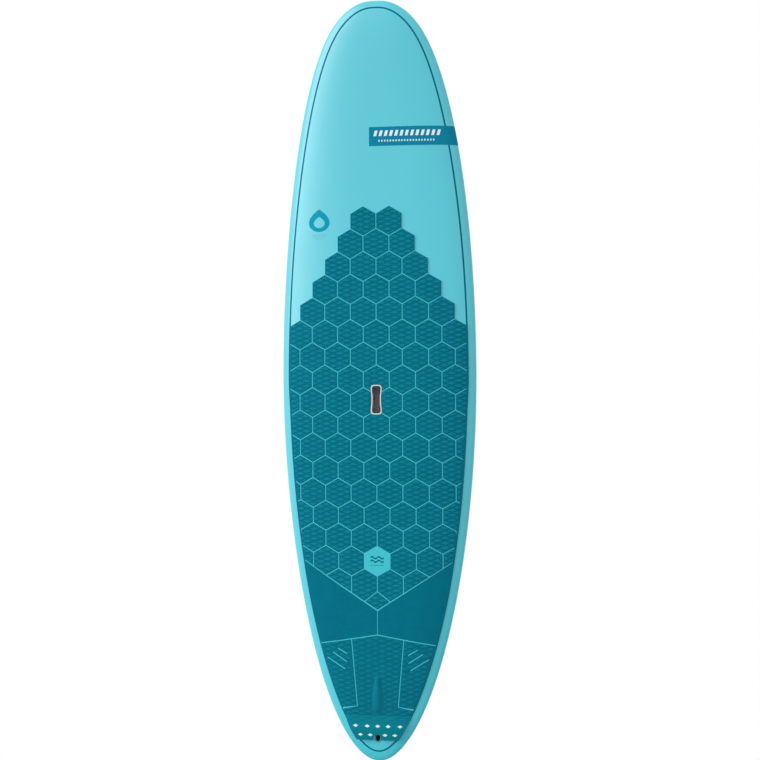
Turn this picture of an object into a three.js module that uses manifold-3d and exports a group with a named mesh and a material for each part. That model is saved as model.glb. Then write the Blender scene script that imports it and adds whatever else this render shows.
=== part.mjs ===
// Stand up paddleboard: sandwich hull, EVA deck pads, carry handle, leash plug and a three-fin set-up.
// Millimetres. +Y points to the nose, +X to the right seen from above, +Z out of the deck.
// The origin lies on the flat stretch of the hull bottom, at half length on the centre line.
import * as THREE from 'three';
import { mergeVertices } from 'three/addons/utils/BufferGeometryUtils.js';
import Module from 'manifold-3d';

const wasm = await Module();
wasm.setup();

// ---- driving dimensions -------------------------------------------------------------------
const BOARD_LENGTH = 3048;
const BOARD_WIDTH = 790;
const BOARD_THICKNESS = 112;
const WIDE_POINT_Y = 25;
const NOSE_ROCKER = 108;
const TAIL_ROCKER = 68;
const FLAT_FRONT_Y = 250;
const FLAT_REAR_Y = -350;
const RAIL_APEX = 0.4; // height of the widest line, as a share of the thickness
const FLAT_SHARE = 0.62; // share of the half width where the bottom is flat

const SHELL = 3; // laminate and sandwich skin
const GAP = 0.3; // clearance between touching pieces
const CORE_INSET = SHELL + 0.5;
const STRINGER = 4;

const PAD = 5; // EVA thickness
const GROOVE = 2; // half width of the line between two pads
const HEX_FLATS = 104.8;
const HEX_PITCH = HEX_FLATS * Math.sqrt(3) / 2;
const HEX_SIDE = HEX_FLATS / Math.sqrt(3);
const HEX_FRONT_ROW_Y = 644.5;
const BADGE_ROW = 15;
const STEP_ROWS = 5;
const VEE_APEX_Y = -913;
const VEE_SLOPE = 0.647;
const ARCH_APEX_Y = -1012;
const ARCH_SLOPE = 0.172;
const TAIL_LINE = { frontX: 105.5, frontY: -1037, rearX: 82.7, rearY: -1299, endX: 160, endY: -1311 };
const KICK_FRONT_Y = -1334;
const KICK_REAR_Y = -1430;
const KICK_RISE = 12;
const KICK_TOP_LAYER = 2.5;

const HANDLE_Y = -71;
const HANDLE_DEPTH = 46;
const HANDLE_WALL = 2.5;
const FINGER_ROOM = 14;
const VENT_Y = HANDLE_Y - 36;

const PLUG_Y = -1426;
const PLUG_DEPTH = 20;

const FIN_BOX = { y: -1140, length: 273, width: 26, height: 26, slot: 9.8, slotLength: 257, slotDepth: 20 };
const FIN_GROOVE = { width: 15.6, low: 8.5, high: 13.9 };
const FIN = { depth: 205, base: 145, tab: 170, tabWidth: 9.2, tabHeight: 18, thickness: 9 };
const SIDE_BOX = { x: 155, y: -1200, length: 134, width: 17, height: 18, slot: 7, slotLength: 113, slotDepth: 14 };
const SIDE_FIN = { depth: 112, base: 108, tab: 111.6, tabWidth: 6.4, tabHeight: 12.5, thickness: 6.5 };
const SIDE_CANT = THREE.MathUtils.degToRad(5);
const SIDE_TOE = THREE.MathUtils.degToRad(2.5);

// ---- hull surface -------------------------------------------------------------------------
const TIP = BOARD_LENGTH / 2;

function halfWidth(y, inset = 0) {
  const nose = y > WIDE_POINT_Y;
  const reach = nose ? TIP - inset - WIDE_POINT_Y : TIP - inset + WIDE_POINT_Y;
  const u = Math.min(Math.abs(y - WIDE_POINT_Y) / reach, 1);
  const fullness = nose ? (1 - u ** 1.93) ** (1 / 2.57) : (1 - u ** 1.9) ** (1 / 1.88);
  const point = nose ? 1 - 0.15 * Math.exp((y - TIP + inset) / 45) : 1; // draws the nose tip in a little
  return (BOARD_WIDTH / 2 - inset) * fullness * point;
}

function rocker(y) {
  const nose = NOSE_ROCKER * (Math.max(y - FLAT_FRONT_Y, 0) / (TIP - FLAT_FRONT_Y)) ** 2.6;
  const tail = TAIL_ROCKER * (Math.max(FLAT_REAR_Y - y, 0) / (TIP + FLAT_REAR_Y)) ** 2.2;
  return nose + tail;
}

function thickness(y) {
  const u = Math.min(Math.abs(y) / TIP, 1);
  return BOARD_THICKNESS * (1 - u ** (y > 0 ? 2.4 : 1.75)) ** (1 / 2.2);
}

function apexHeight(y) {
  return rocker(y) + RAIL_APEX * thickness(y);
}

// height of the deck where s is the share of the half width, 0 on the centre line and 1 on the rail
function deckHeight(s, y) {
  return apexHeight(y) + (1 - RAIL_APEX) * thickness(y) * (1 - Math.abs(s) ** 2.9) ** (1 / 2.1);
}

function bottomHeight(s, y) {
  const r = Math.max((Math.abs(s) - FLAT_SHARE) / (1 - FLAT_SHARE), 0);
  return apexHeight(y) - RAIL_APEX * thickness(y) * Math.sqrt(Math.max(1 - r * r, 0));
}

const STATION_COUNT = 13;

// sections from the tail tip to the nose tip, closer together towards the tips
function stations(inset = 0) {
  const list = [FLAT_REAR_Y, WIDE_POINT_Y, FLAT_FRONT_Y];
  for (let k = 1; k <= STATION_COUNT; k += 1) {
    const angle = Math.PI / 2 * (1 - (1 - k / STATION_COUNT) ** 1.4);
    const u = Math.min(Math.sin(angle), 0.99998);
    list.push(WIDE_POINT_Y + u * (TIP - inset - WIDE_POINT_Y));
    list.push(WIDE_POINT_Y - u * (TIP - inset + WIDE_POINT_Y));
  }
  return list.sort((a, b) => a - b);
}

const ACROSS = 7;
const deckShares = [];
for (let k = -ACROSS; k <= ACROSS; k += 1) deckShares.push(Math.sin(Math.PI / 2 * k / ACROSS));

const ROUND_STEPS = 4;
const bottomShares = [];
for (let k = -ROUND_STEPS; k <= ROUND_STEPS; k += 1) {
  const r = Math.sin(Math.PI / 2 * Math.abs(k) / ROUND_STEPS);
  if (k !== 0) bottomShares.push(Math.sign(k) * (FLAT_SHARE + (1 - FLAT_SHARE) * r));
  if (k === -1) bottomShares.push(-FLAT_SHARE, FLAT_SHARE);
}

// ---- solids and meshes --------------------------------------------------------------------
function toSolid(geometry) {
  const bare = geometry.clone();
  bare.deleteAttribute('normal');
  bare.deleteAttribute('uv');
  const merged = mergeVertices(bare, 1e-4);
  return new wasm.Manifold(new wasm.Mesh({
    numProp: 3,
    vertProperties: new Float32Array(merged.attributes.position.array),
    triVerts: new Uint32Array(merged.index.array),
  }));
}

function toGeometry(solid) {
  const mesh = solid.getMesh();
  const geometry = new THREE.BufferGeometry();
  geometry.setAttribute('position', new THREE.BufferAttribute(new Float32Array(mesh.vertProperties), 3));
  geometry.setIndex(new THREE.BufferAttribute(new Uint32Array(mesh.triVerts), 1));
  geometry.computeVertexNormals();
  return geometry;
}

// faces of a tube through matching rings of points, with a flat cap on each end; lid is a side left open
function tube(rings, lid = -1) {
  const count = rings[0].length;
  const positions = rings.flat().flatMap((p) => [p.x, p.y, p.z]);
  const index = [];
  for (let r = 0; r + 1 < rings.length; r += 1) {
    for (let k = 0; k < count; k += 1) {
      const a = r * count + k;
      const b = r * count + (k + 1) % count;
      if (k !== lid) index.push(a, b, a + count, b, b + count, a + count);
    }
  }
  for (const [ring, flip] of [[0, true], [rings.length - 1, false]]) {
    const centre = new THREE.Vector3();
    rings[ring].forEach((p) => centre.addScaledVector(p, 1 / count));
    positions.push(centre.x, centre.y, centre.z);
    const middle = positions.length / 3 - 1;
    for (let k = 0; k < count; k += 1) {
      const a = ring * count + k;
      const b = ring * count + (k + 1) % count;
      index.push(...(flip ? [b, a, middle] : [a, b, middle]));
    }
  }
  return { positions, index };
}

function solidFromFaces(positions, index) {
  const geometry = new THREE.BufferGeometry();
  geometry.setAttribute('position', new THREE.Float32BufferAttribute(positions, 3));
  geometry.setIndex(index);
  const solid = toSolid(geometry);
  if (solid.volume() > 0) return solid;
  const turned = [];
  for (let k = 0; k < index.length; k += 3) turned.push(index[k], index[k + 2], index[k + 1]);
  geometry.setIndex(turned);
  return toSolid(geometry);
}

function loft(rings) {
  const { positions, index } = tube(rings);
  return solidFromFaces(positions, index);
}

// half of a hollow hull: outer and inner rings, whose first and last points lie on the rim
function trough(outer, inner) {
  const count = outer[0].length;
  const outside = tube(outer, count - 1);
  const inside = tube(inner, count - 1);
  const shift = outside.positions.length / 3;
  const index = [...outside.index];
  for (let k = 0; k < inside.index.length; k += 3) {
    index.push(inside.index[k] + shift, inside.index[k + 2] + shift, inside.index[k + 1] + shift);
  }
  const right = outer.map((_, r) => r * count + count - 1);
  const left = outer.map((_, r) => r * count).reverse();
  const rim = [...right, ...left];
  rim.forEach((a, k) => {
    const b = rim[(k + 1) % rim.length];
    index.push(b, a, a + shift, b, a + shift, b + shift);
  });
  return solidFromFaces([...outside.positions, ...inside.positions], index);
}

function prism(points, low, high) {
  const shape = new THREE.Shape(points.map(([x, y]) => new THREE.Vector2(x, y)));
  const geometry = new THREE.ExtrudeGeometry(shape, { depth: high - low, bevelEnabled: false });
  geometry.translate(0, 0, low);
  return toSolid(geometry);
}

function rod(radius, length, segments = 16) {
  return toSolid(new THREE.CylinderGeometry(radius, radius, length, segments).rotateX(Math.PI / 2));
}

function moved(solid, x, y, z) {
  return solid.translate([x, y, z]);
}

function oval(width, length, segments = 8) {
  const points = [];
  const radius = width / 2;
  for (let end = 0; end < 2; end += 1) {
    for (let k = 0; k <= segments; k += 1) {
      const angle = Math.PI * (end + k / segments);
      const shift = (end === 0 ? 1 : -1) * (length / 2 - radius);
      points.push([radius * Math.cos(angle), shift + radius * Math.sin(angle)]);
    }
  }
  return points;
}

function roundedBox(width, length, radius, segments = 4) {
  const points = [];
  for (let corner = 0; corner < 4; corner += 1) {
    const cx = (corner === 0 || corner === 3 ? 1 : -1) * (width / 2 - radius);
    const cy = (corner < 2 ? 1 : -1) * (length / 2 - radius);
    for (let k = 0; k <= segments; k += 1) {
      const angle = Math.PI / 2 * (corner + k / segments);
      points.push([cx + radius * Math.cos(angle), cy + radius * Math.sin(angle)]);
    }
  }
  return points;
}

const board = new THREE.Group();

function add(name, solid, colour, roughness, metalness = 0) {
  const material = new THREE.MeshStandardMaterial({ color: colour, roughness, metalness });
  const mesh = new THREE.Mesh(toGeometry(solid), material);
  mesh.name = name;
  board.add(mesh);
}

// ---- shells, core and stringer ------------------------------------------------------------
const sectionPoint = (s, y, z, inset) => new THREE.Vector3(s * halfWidth(y, inset), y, z);

// rings of the upper or lower part of the hull, shrunk by inset, ending just short of the rail apex
function halfHull(shares, height, side, inset) {
  return stations(inset).map((y) => {
    const ring = shares.map((s) => sectionPoint(s, y, height(s, y) - side * (1 - s ** 8) * inset, inset));
    ring[0].z = apexHeight(y) + side * GAP / 2;
    ring[ring.length - 1].z = ring[0].z;
    return ring;
  });
}

const upperHull = (inset) => halfHull(deckShares, deckHeight, 1, inset);
const lowerHull = (inset) => halfHull(bottomShares, bottomHeight, -1, inset);

// the foam blank, a little smaller than the inside of the shells
function blank() {
  return loft(stations(CORE_INSET).map((y) => {
    const top = deckShares.map((s) => sectionPoint(s, y, deckHeight(s, y) - (1 - s ** 8) * CORE_INSET, CORE_INSET));
    const under = bottomShares.slice(1, -1).map((s) => (
      sectionPoint(s, y, bottomHeight(s, y) + (1 - s ** 8) * CORE_INSET, CORE_INSET)));
    const middle = apexHeight(y);
    const keepOrder = (p, low) => { p.z = low ? Math.min(p.z, middle) : Math.max(p.z, middle); return p; };
    return [...top.map((p) => keepOrder(p, false)), ...under.reverse().map((p) => keepOrder(p, true))];
  }));
}

// ---- carry handle -------------------------------------------------------------------------
// an oblong with rounded corners whose long sides draw in at the middle
function waisted(length, width, waist, segments = 28) {
  const points = [];
  const bulge = (width / 1.77 - waist / 2) / 0.62;
  for (let k = 0; k < segments; k += 1) {
    const angle = 2 * Math.PI * (k + 0.5) / segments;
    const cos = Math.cos(angle);
    const sin = Math.sin(angle);
    const side = waist / 2 + bulge * Math.abs(sin);
    points.push([
      Math.sign(cos) * Math.sqrt(Math.abs(cos)) * side,
      Math.sign(sin) * Math.sqrt(Math.abs(sin)) * length / 2,
    ]);
  }
  return points;
}

const deckTop = deckHeight(0, HANDLE_Y);
const cupFloor = deckTop - HANDLE_DEPTH;
const handleOutline = (grow) => waisted(108 + 2 * grow, 36 + 2 * grow, 26.6 + 2 * grow);

function handlePrism(grow, low, high, shift = 0) {
  return moved(prism(handleOutline(grow), low, high), shift, HANDLE_Y, 0);
}

function cupBody(grow, low, high) {
  const finger = handlePrism(grow, low, deckTop - 12 + grow, FINGER_ROOM);
  return handlePrism(grow, low, high).add(finger);
}

function handleCup() {
  const outside = cupBody(HANDLE_WALL, cupFloor - HANDLE_WALL, deckTop - GAP);
  const inside = cupBody(0, cupFloor, deckTop + 10);
  return outside.subtract(inside).subtract(moved(rod(7.3, 20), 0, VENT_Y, cupFloor));
}

const rimTop = deckTop + GAP + PAD + 0.8;

function handleRim() {
  return handlePrism(7.5, deckTop + GAP, rimTop).subtract(handlePrism(0, deckTop - 5, deckTop + 20));
}

// soft strip on the lip that the fingers hook under
function gripStrip() {
  const strip = handlePrism(-GAP, deckTop - 10, deckTop - 1);
  const hollow = handlePrism(-GAP, deckTop - 20, deckTop + 5, -2);
  const reach = 34;
  const fingerSide = prism([[4, -reach], [30, -reach], [30, reach], [4, reach]], 0, 200);
  return strip.subtract(hollow).intersect(moved(fingerSide, 0, HANDLE_Y, 0));
}

// ---- vent valve in the handle floor -------------------------------------------------------
function lathe(profile, segments = 16) {
  const points = profile.map(([r, z]) => new THREE.Vector2(r, z));
  return toSolid(new THREE.LatheGeometry(points, segments).rotateX(Math.PI / 2));
}

function ventBody() {
  const profile = [[3.4, -12], [7, -12], [7, 0.3], [9.5, 0.3], [9.5, 2], [8.8, 2.4], [3.4, 2.4], [3.4, -12]];
  return moved(lathe(profile), 0, VENT_Y, cupFloor);
}

function ventScrew() {
  const profile = [[0, -10], [2.9, -10], [2.9, 4.5], [5.2, 4.5], [5.2, 5.8], [4.4, 6.6], [0, 6.6], [0, -10]];
  const slot = prism([[-0.7, -8], [0.7, -8], [0.7, 8], [-0.7, 8]], 5.6, 9);
  return moved(lathe(profile).subtract(slot), 0, VENT_Y, cupFloor);
}

function ventRing() {
  const ring = [];
  const steps = 6;
  for (let k = 0; k <= steps; k += 1) {
    const angle = 2 * Math.PI * k / steps;
    ring.push([4.1 + 0.8 * Math.cos(angle), 3.45 + 0.8 * Math.sin(angle)]);
  }
  return moved(lathe(ring), 0, VENT_Y, cupFloor);
}

// ---- leash plug ---------------------------------------------------------------------------
const plugTop = deckHeight(0, PLUG_Y) + 1.5;
const PLUG_FLANGE = [26, 34];
const PLUG_CUP = [21, 29];
const PLUG_SLOT = [14, 22];
const PLUG_PIN_Z = plugTop - 9;
const plugPrism = (size, grow, low, high) => (
  moved(prism(oval(size[0] + 2 * grow, size[1] + 2 * grow), low, high), 0, PLUG_Y, 0));

function leashCup() {
  const flange = plugPrism(PLUG_FLANGE, 0, plugTop - 3, plugTop);
  const cup = plugPrism(PLUG_CUP, 0, plugTop - PLUG_DEPTH, plugTop - 1);
  const slot = plugPrism(PLUG_SLOT, 0, plugTop - PLUG_DEPTH + 2, plugTop + 5);
  const pinHole = moved(rod(2.4, 40).rotate([0, 90, 0]), 0, PLUG_Y, PLUG_PIN_Z);
  return flange.add(cup).subtract(slot).subtract(pinHole);
}

function leashPin() {
  return moved(rod(2, 20.4).rotate([0, 90, 0]), 0, PLUG_Y, PLUG_PIN_Z);
}

// ---- deck pads ----------------------------------------------------------------------------
function padInset(y) {
  const middle = 3.6 * THREE.MathUtils.smoothstep(-y, -20, 160);
  const tail = 7.6 * THREE.MathUtils.smoothstep(-y, 800, 1400);
  return 31.8 + 0.001 * Math.max(y, 0) + middle + tail;
}

// layer of foam that lies on the deck between two heights above it
function deckLayer(low, high, rear, front) {
  const rows = stations().filter((y) => y > rear - 120 && y < front + 200);
  const shares = deckShares.slice(1, -1);
  return loft(rows.map((y) => [
    ...shares.map((s) => sectionPoint(s, y, deckHeight(s, y) + high(y), 0)),
    ...shares.map((s) => sectionPoint(s, y, deckHeight(s, y) + low(y), 0)).reverse(),
  ]));
}

// the pads' common side edges, between two Y values
function edgePrism(rear, front, steps) {
  const points = [];
  for (let k = 0; k <= steps; k += 1) {
    const y = rear + (front - rear) * k / steps;
    points.push([halfWidth(y) - padInset(y), y]);
  }
  const mirrored = points.map(([x, y]) => [-x, y]).reverse();
  return prism([...points, ...mirrored], -20, 200);
}

const hexRowY = (row) => HEX_FRONT_ROW_Y - row * HEX_PITCH;
const vee = (x, shift) => [x, VEE_APEX_Y + VEE_SLOPE * Math.abs(x) + shift];
const arch = (x, shift) => [x, ARCH_APEX_Y - ARCH_SLOPE * Math.abs(x) + shift];
const FAR = 420;

// hexagon steps at the front, a vee at the rear
function hexPadOutline() {
  const right = [];
  for (let row = 0; row < STEP_ROWS; row += 1) {
    const x = HEX_FLATS / 2 * (row + 2);
    right.push([x, hexRowY(row) + HEX_SIDE / 2], [x, hexRowY(row) - HEX_SIDE / 2]);
  }
  const shoulder = [FAR, right[right.length - 1][1] - (FAR - right[right.length - 1][0]) / Math.sqrt(3)];
  const half = [[HEX_FLATS / 2, hexRowY(0) + HEX_SIDE], ...right, shoulder, vee(FAR, GROOVE)];
  const left = half.map(([x, y]) => [-x, y]).reverse();
  return [[0, hexRowY(0) + HEX_SIDE / 2], ...half, vee(0, GROOVE), ...left];
}

function hexagon(radius) {
  const points = [];
  for (let k = 0; k < 6; k += 1) {
    const angle = Math.PI / 3 * (k + 0.5);
    points.push([radius * Math.cos(angle), radius * Math.sin(angle)]);
  }
  return points;
}

const padSheet = deckLayer(() => GAP, () => GAP + PAD, KICK_REAR_Y, hexRowY(0) + HEX_SIDE);
const padEdges = edgePrism(KICK_REAR_Y, hexRowY(0) + HEX_SIDE + 5, 40);
const padBlank = padSheet.intersect(padEdges);
const cutPad = (outline) => padBlank.intersect(prism(outline, -20, 200));

function hexPad() {
  const badgeHole = moved(prism(hexagon(HEX_SIDE - GROOVE + GAP), -20, 200), 0, hexRowY(BADGE_ROW), 0);
  const handleHole = handlePrism(7.5 + GAP, -20, 200);
  return cutPad(hexPadOutline()).subtract(badgeHole).subtract(handleHole);
}

function badgeTile() {
  return padBlank.intersect(moved(prism(hexagon(HEX_SIDE - GROOVE), -20, 200), 0, hexRowY(BADGE_ROW), 0));
}

function midPad(side) {
  const inner = side * GROOVE;
  return cutPad([vee(inner, -GROOVE), vee(side * FAR, -GROOVE), arch(side * FAR, GROOVE), arch(inner, GROOVE)]);
}

const tailLineFront = (side, shift) => arch(side * (TAIL_LINE.frontX + shift), -GROOVE);

function tailSidePad(side) {
  const { rearX, rearY, endX, endY } = TAIL_LINE;
  return cutPad([
    tailLineFront(side, GROOVE),
    arch(side * FAR, -GROOVE),
    [side * FAR, endY + GROOVE],
    [side * endX, endY + GROOVE],
    [side * (rearX + GROOVE), rearY + GROOVE],
  ]);
}

function tailCentrePad() {
  const { rearX, rearY, endX, endY } = TAIL_LINE;
  const half = [
    tailLineFront(1, -GROOVE),
    [rearX - GROOVE, rearY - GROOVE],
    [endX, endY - GROOVE],
    [FAR, endY - GROOVE],
    [FAR, KICK_FRONT_Y + GAP],
  ];
  const left = half.map(([x, y]) => [-x, y]).reverse();
  return cutPad([arch(0, -GROOVE), ...half, ...left]);
}

function kickRise(y) {
  return KICK_RISE * THREE.MathUtils.smoothstep(-y, -KICK_FRONT_Y, -KICK_REAR_Y + 30);
}

const kickTop = (y) => GAP + PAD + kickRise(y);

function kickLayer(low, high) {
  const notch = prism([[-19, -1500], [19, -1500], [19, PLUG_Y + 19], [-19, PLUG_Y + 19]], -20, 200);
  const region = prism([[-FAR, KICK_REAR_Y], [FAR, KICK_REAR_Y], [FAR, KICK_FRONT_Y], [-FAR, KICK_FRONT_Y]], -20, 200);
  return deckLayer(low, high, KICK_REAR_Y, KICK_FRONT_Y).intersect(padEdges).intersect(region).subtract(notch);
}

const DIAMOND_ROWS = [[-1375.5, [0, 42.3, 90, -42.3, -90]], [-1410, [30, 69.5, -30, -69.5]]];

function kickPad() {
  let pad = kickLayer((y) => kickTop(y) - KICK_TOP_LAYER, kickTop);
  for (const [y, places] of DIAMOND_ROWS) {
    for (const x of places) {
      const diamond = prism([[11, 0], [0, 6.3], [-11, 0], [0, -6.3]], -20, 200);
      pad = pad.subtract(moved(diamond, x, y, 0));
    }
  }
  return pad;
}

function kickUnderlay() {
  return kickLayer(() => GAP, (y) => kickTop(y) - KICK_TOP_LAYER - GAP);
}

// raised bar under the arch of the rear foot: broad at the rear, necked towards the front
const BAR = { front: -1175, rear: -1324, width: 45, neck: 30, height: 8 };

function archBar() {
  const rings = [];
  const steps = 12;
  for (let k = 0; k <= steps; k += 1) {
    const v = 0.5 - 0.499 * Math.cos(Math.PI * k / steps);
    const y = BAR.rear + (BAR.front - BAR.rear) * v;
    const body = THREE.MathUtils.lerp(BAR.width, BAR.neck, THREE.MathUtils.smoothstep(v, 0.35, 0.8));
    const end = Math.sqrt(1 - Math.abs(2 * v - 1) ** 6);
    const seat = deckHeight(0, y) + GAP + PAD + 0.6;
    const ring = [];
    for (let j = 0; j <= 8; j += 1) {
      const angle = Math.PI * j / 8;
      const x = body / 2 * end * Math.cos(angle);
      ring.push(new THREE.Vector3(x, y, seat + BAR.height * end * Math.sin(angle)));
    }
    rings.push(ring);
  }
  return loft(rings);
}

// ---- fins and fin boxes -------------------------------------------------------------------
// where a box sits on the hull bottom: its mouth in the plane that touches the bottom there
function bottomPlace(x, y, sink) {
  const step = 1;
  const slope = (rocker(y + step) - rocker(y - step)) / (2 * step);
  const s = Math.abs(x) / halfWidth(y);
  const place = new THREE.Matrix4().makeRotationX(Math.atan(slope));
  place.setPosition(x, y, bottomHeight(s, y) + sink);
  return place;
}

function placed(solid, matrix) {
  return solid.transform(matrix.elements);
}

const CENTRE_PLACE = bottomPlace(0, FIN_BOX.y, 0.6);

function sidePlace(side) {
  const place = bottomPlace(side * SIDE_BOX.x, SIDE_BOX.y, 0.3);
  place.multiply(new THREE.Matrix4().makeRotationY(-side * SIDE_CANT));
  place.multiply(new THREE.Matrix4().makeRotationZ(side * SIDE_TOE));
  return place;
}

function boxOutline(box, grow) {
  return roundedBox(box.width + 2 * grow, box.length + 2 * grow, 6 + grow);
}

// seen from its mouth the box is a long slot; a wider groove inside holds the pin and the nut plate
function centreBox() {
  const body = prism(boxOutline(FIN_BOX, 0), 0, FIN_BOX.height);
  const slot = prism(oval(FIN_BOX.slot, FIN_BOX.slotLength), -5, FIN_BOX.slotDepth);
  const groove = prism(roundedBox(FIN_GROOVE.width, FIN_BOX.slotLength - 8, 2), FIN_GROOVE.low, FIN_GROOVE.high);
  const mouth = prism(roundedBox(FIN_GROOVE.width, 20, 2), -5, FIN_GROOVE.high);
  return body.subtract(slot).subtract(groove).subtract(mouth);
}

function sideBox() {
  const body = prism(boxOutline(SIDE_BOX, 0), 0, SIDE_BOX.height);
  const slot = moved(prism(oval(SIDE_BOX.slot, SIDE_BOX.slotLength), -5, SIDE_BOX.slotDepth), 0, -6, 0);
  const screwHole = moved(rod(2.4, 30), 0, SIDE_BOX.length / 2 - 7.5, 5);
  return body.subtract(slot).subtract(screwHole);
}

// swept-back foil hanging below the hull; depthShare runs from 0 at the base to 1 at the tip
function foil(fin) {
  const levels = 10;
  const around = 6;
  const rings = [];
  for (let level = 0; level <= levels; level += 1) {
    const share = 1 - (1 - level / levels) ** 1.5;
    const k = share * 0.995;
    const lead = fin.base * (0.414 - 0.055 * k - 1.29 * k ** 2.2);
    const trail = fin.base * (-0.586 - 0.38 * k ** 2.5 + 0.15 * Math.sin(Math.PI * k));
    const chord = lead - trail;
    const thick = fin.thickness / 2 * (chord / fin.base) ** 0.8;
    const ring = [];
    for (const side of [1, -1]) {
      for (let j = 0; j < around; j += 1) {
        const c = side > 0 ? j / around : 1 - j / around;
        const bulge = 2.6 * Math.sqrt(c) * (1 - c) + 0.06 * c;
        ring.push(new THREE.Vector3(side * thick * bulge, lead - chord * c * c ** 0.3, -fin.depth * share - 0.8));
      }
    }
    rings.push(ring);
  }
  return loft(rings);
}

const FIN_PIN = { y: -73, z: 11.2, radius: 2.2 };
const FIN_SCREW_Y = 73;

function centreFin() {
  const tab = prism(roundedBox(FIN.tabWidth, FIN.base, 2), -1.6, FIN.tabHeight);
  const tongue = prism(roundedBox(FIN.tabWidth, FIN.tab, 2), 3.6, 7.6);
  const pinHole = moved(rod(FIN_PIN.radius + 0.35, 40).rotate([0, 90, 0]), 0, FIN_PIN.y, FIN_PIN.z);
  const screwHole = moved(rod(2.4, 20), 0, FIN_SCREW_Y, 5);
  const base = moved(tab, 0, -(FIN.tab - FIN.base) / 2, 0);
  return foil(FIN).add(base).add(tongue).subtract(pinHole).subtract(screwHole);
}

function finPin() {
  return moved(rod(FIN_PIN.radius, 15).rotate([0, 90, 0]), 0, FIN_PIN.y, FIN_PIN.z);
}

function finScrew() {
  const profile = [[0, 0.2], [3.6, 0.2], [4.3, 1], [4.3, 3.2], [2, 3.2], [2, 16], [0, 16], [0, 0.2]];
  const drive = prism([[-0.6, -6], [0.6, -6], [0.6, 6], [-0.6, 6]], -2, 1.2);
  return moved(lathe(profile).subtract(drive), 0, FIN_SCREW_Y, 0);
}

function nutPlate() {
  const plate = prism(roundedBox(15, 18, 1.5), 9, 13);
  return moved(plate.subtract(rod(2.35, 60)), 0, FIN_SCREW_Y, 0);
}

function sideFin() {
  const tab = prism(roundedBox(SIDE_FIN.tabWidth, SIDE_FIN.tab, 2), -1.6, SIDE_FIN.tabHeight);
  const centred = (0.414 - 0.586) / 2 * SIDE_FIN.base;
  return moved(foil(SIDE_FIN), 0, -6 - centred, 0).add(moved(tab, 0, -6, 0));
}

function sideScrew() {
  const profile = [[0, 0.4], [2, 0.4], [2, 12], [0, 12], [0, 0.4]];
  const drive = prism([[-0.5, -4], [0.5, -4], [0.5, 4], [-0.5, 4]], -2, 1.6);
  return moved(lathe(profile, 14).subtract(drive), 0, SIDE_BOX.length / 2 - 7.5, 0);
}

// ---- cut-outs in the shells and the core --------------------------------------------------
const finBoxRoom = (grow) => placed(prism(boxOutline(FIN_BOX, grow), -20, FIN_BOX.height + grow), CENTRE_PLACE);
const sideBoxRoom = (side, grow) => (
  placed(prism(boxOutline(SIDE_BOX, grow), -20, SIDE_BOX.height + grow), sidePlace(side)));
const handleRoom = cupBody(HANDLE_WALL + GAP, cupFloor - HANDLE_WALL - GAP, 200);
const ventRoom = moved(rod(7.4, 40), 0, VENT_Y, cupFloor);
const plugRoom = plugPrism(PLUG_FLANGE, GAP, plugTop - 3 - GAP, 200)
  .add(plugPrism(PLUG_CUP, GAP, plugTop - PLUG_DEPTH - GAP, 200));
const handleBlockRoom = (grow) => moved(
  prism(roundedBox(112 + 2 * grow, 176 + 2 * grow, 20), cupFloor - 20 - grow, 200), 5, HANDLE_Y, 0);
const finBlockRoom = (grow) => placed(
  prism(roundedBox(58 + 2 * grow, 305 + 2 * grow, 10), -20, FIN_BOX.height + 8 + grow), CENTRE_PLACE);

const foamBlank = blank();

function deckShell() {
  return trough(upperHull(0), upperHull(SHELL))
    .subtract(handlePrism(HANDLE_WALL + GAP, deckTop - 30, 200))
    .subtract(plugRoom);
}

function bottomShell() {
  return trough(lowerHull(0), lowerHull(SHELL))
    .subtract(finBoxRoom(GAP))
    .subtract(sideBoxRoom(1, GAP))
    .subtract(sideBoxRoom(-1, GAP));
}

function foamCore(side) {
  const near = side * (STRINGER / 2 + GAP);
  const far = side * BOARD_WIDTH;
  const sidePrism = prism([[near, -1600], [far, -1600], [far, 1600], [near, 1600]], -50, 250);
  return foamBlank.intersect(sidePrism)
    .subtract(handleBlockRoom(GAP))
    .subtract(finBlockRoom(GAP))
    .subtract(sideBoxRoom(side, GAP))
    .subtract(plugRoom);
}

function stringer() {
  const half = STRINGER / 2;
  const strip = prism([[-half, -1600], [half, -1600], [half, 1600], [-half, 1600]], -50, 250);
  return foamBlank.intersect(strip)
    .subtract(handleBlockRoom(GAP))
    .subtract(finBlockRoom(GAP))
    .subtract(plugRoom);
}

// ---- assembly -----------------------------------------------------------------------------
const COLOUR = {
  lacquer: 0x68cbd8, foam: 0xf2f2ea, denseFoam: 0xd9c98f, wood: 0xc49a5c, pad: 0x0f7d90, paleEva: 0x58c3d3,
  white: 0xf3f6f6, black: 0x1b1e20, grey: 0xb9c3c6, steel: 0xc8ccd0, brass: 0xb9964f, fin: 0x14202a,
};

add('deck_shell', deckShell(), COLOUR.lacquer, 0.25);
add('bottom_shell', bottomShell(), COLOUR.lacquer, 0.25);
add('foam_core_left', foamCore(-1), COLOUR.foam, 0.9);
add('foam_core_right', foamCore(1), COLOUR.foam, 0.9);
add('stringer', stringer(), COLOUR.wood, 0.7);
add('handle_foam_block', foamBlank.intersect(handleBlockRoom(0)).subtract(handleRoom).subtract(ventRoom),
  COLOUR.denseFoam, 0.9);
add('fin_box_foam_block', foamBlank.intersect(finBlockRoom(0)).subtract(finBoxRoom(GAP)), COLOUR.denseFoam, 0.9);

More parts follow.
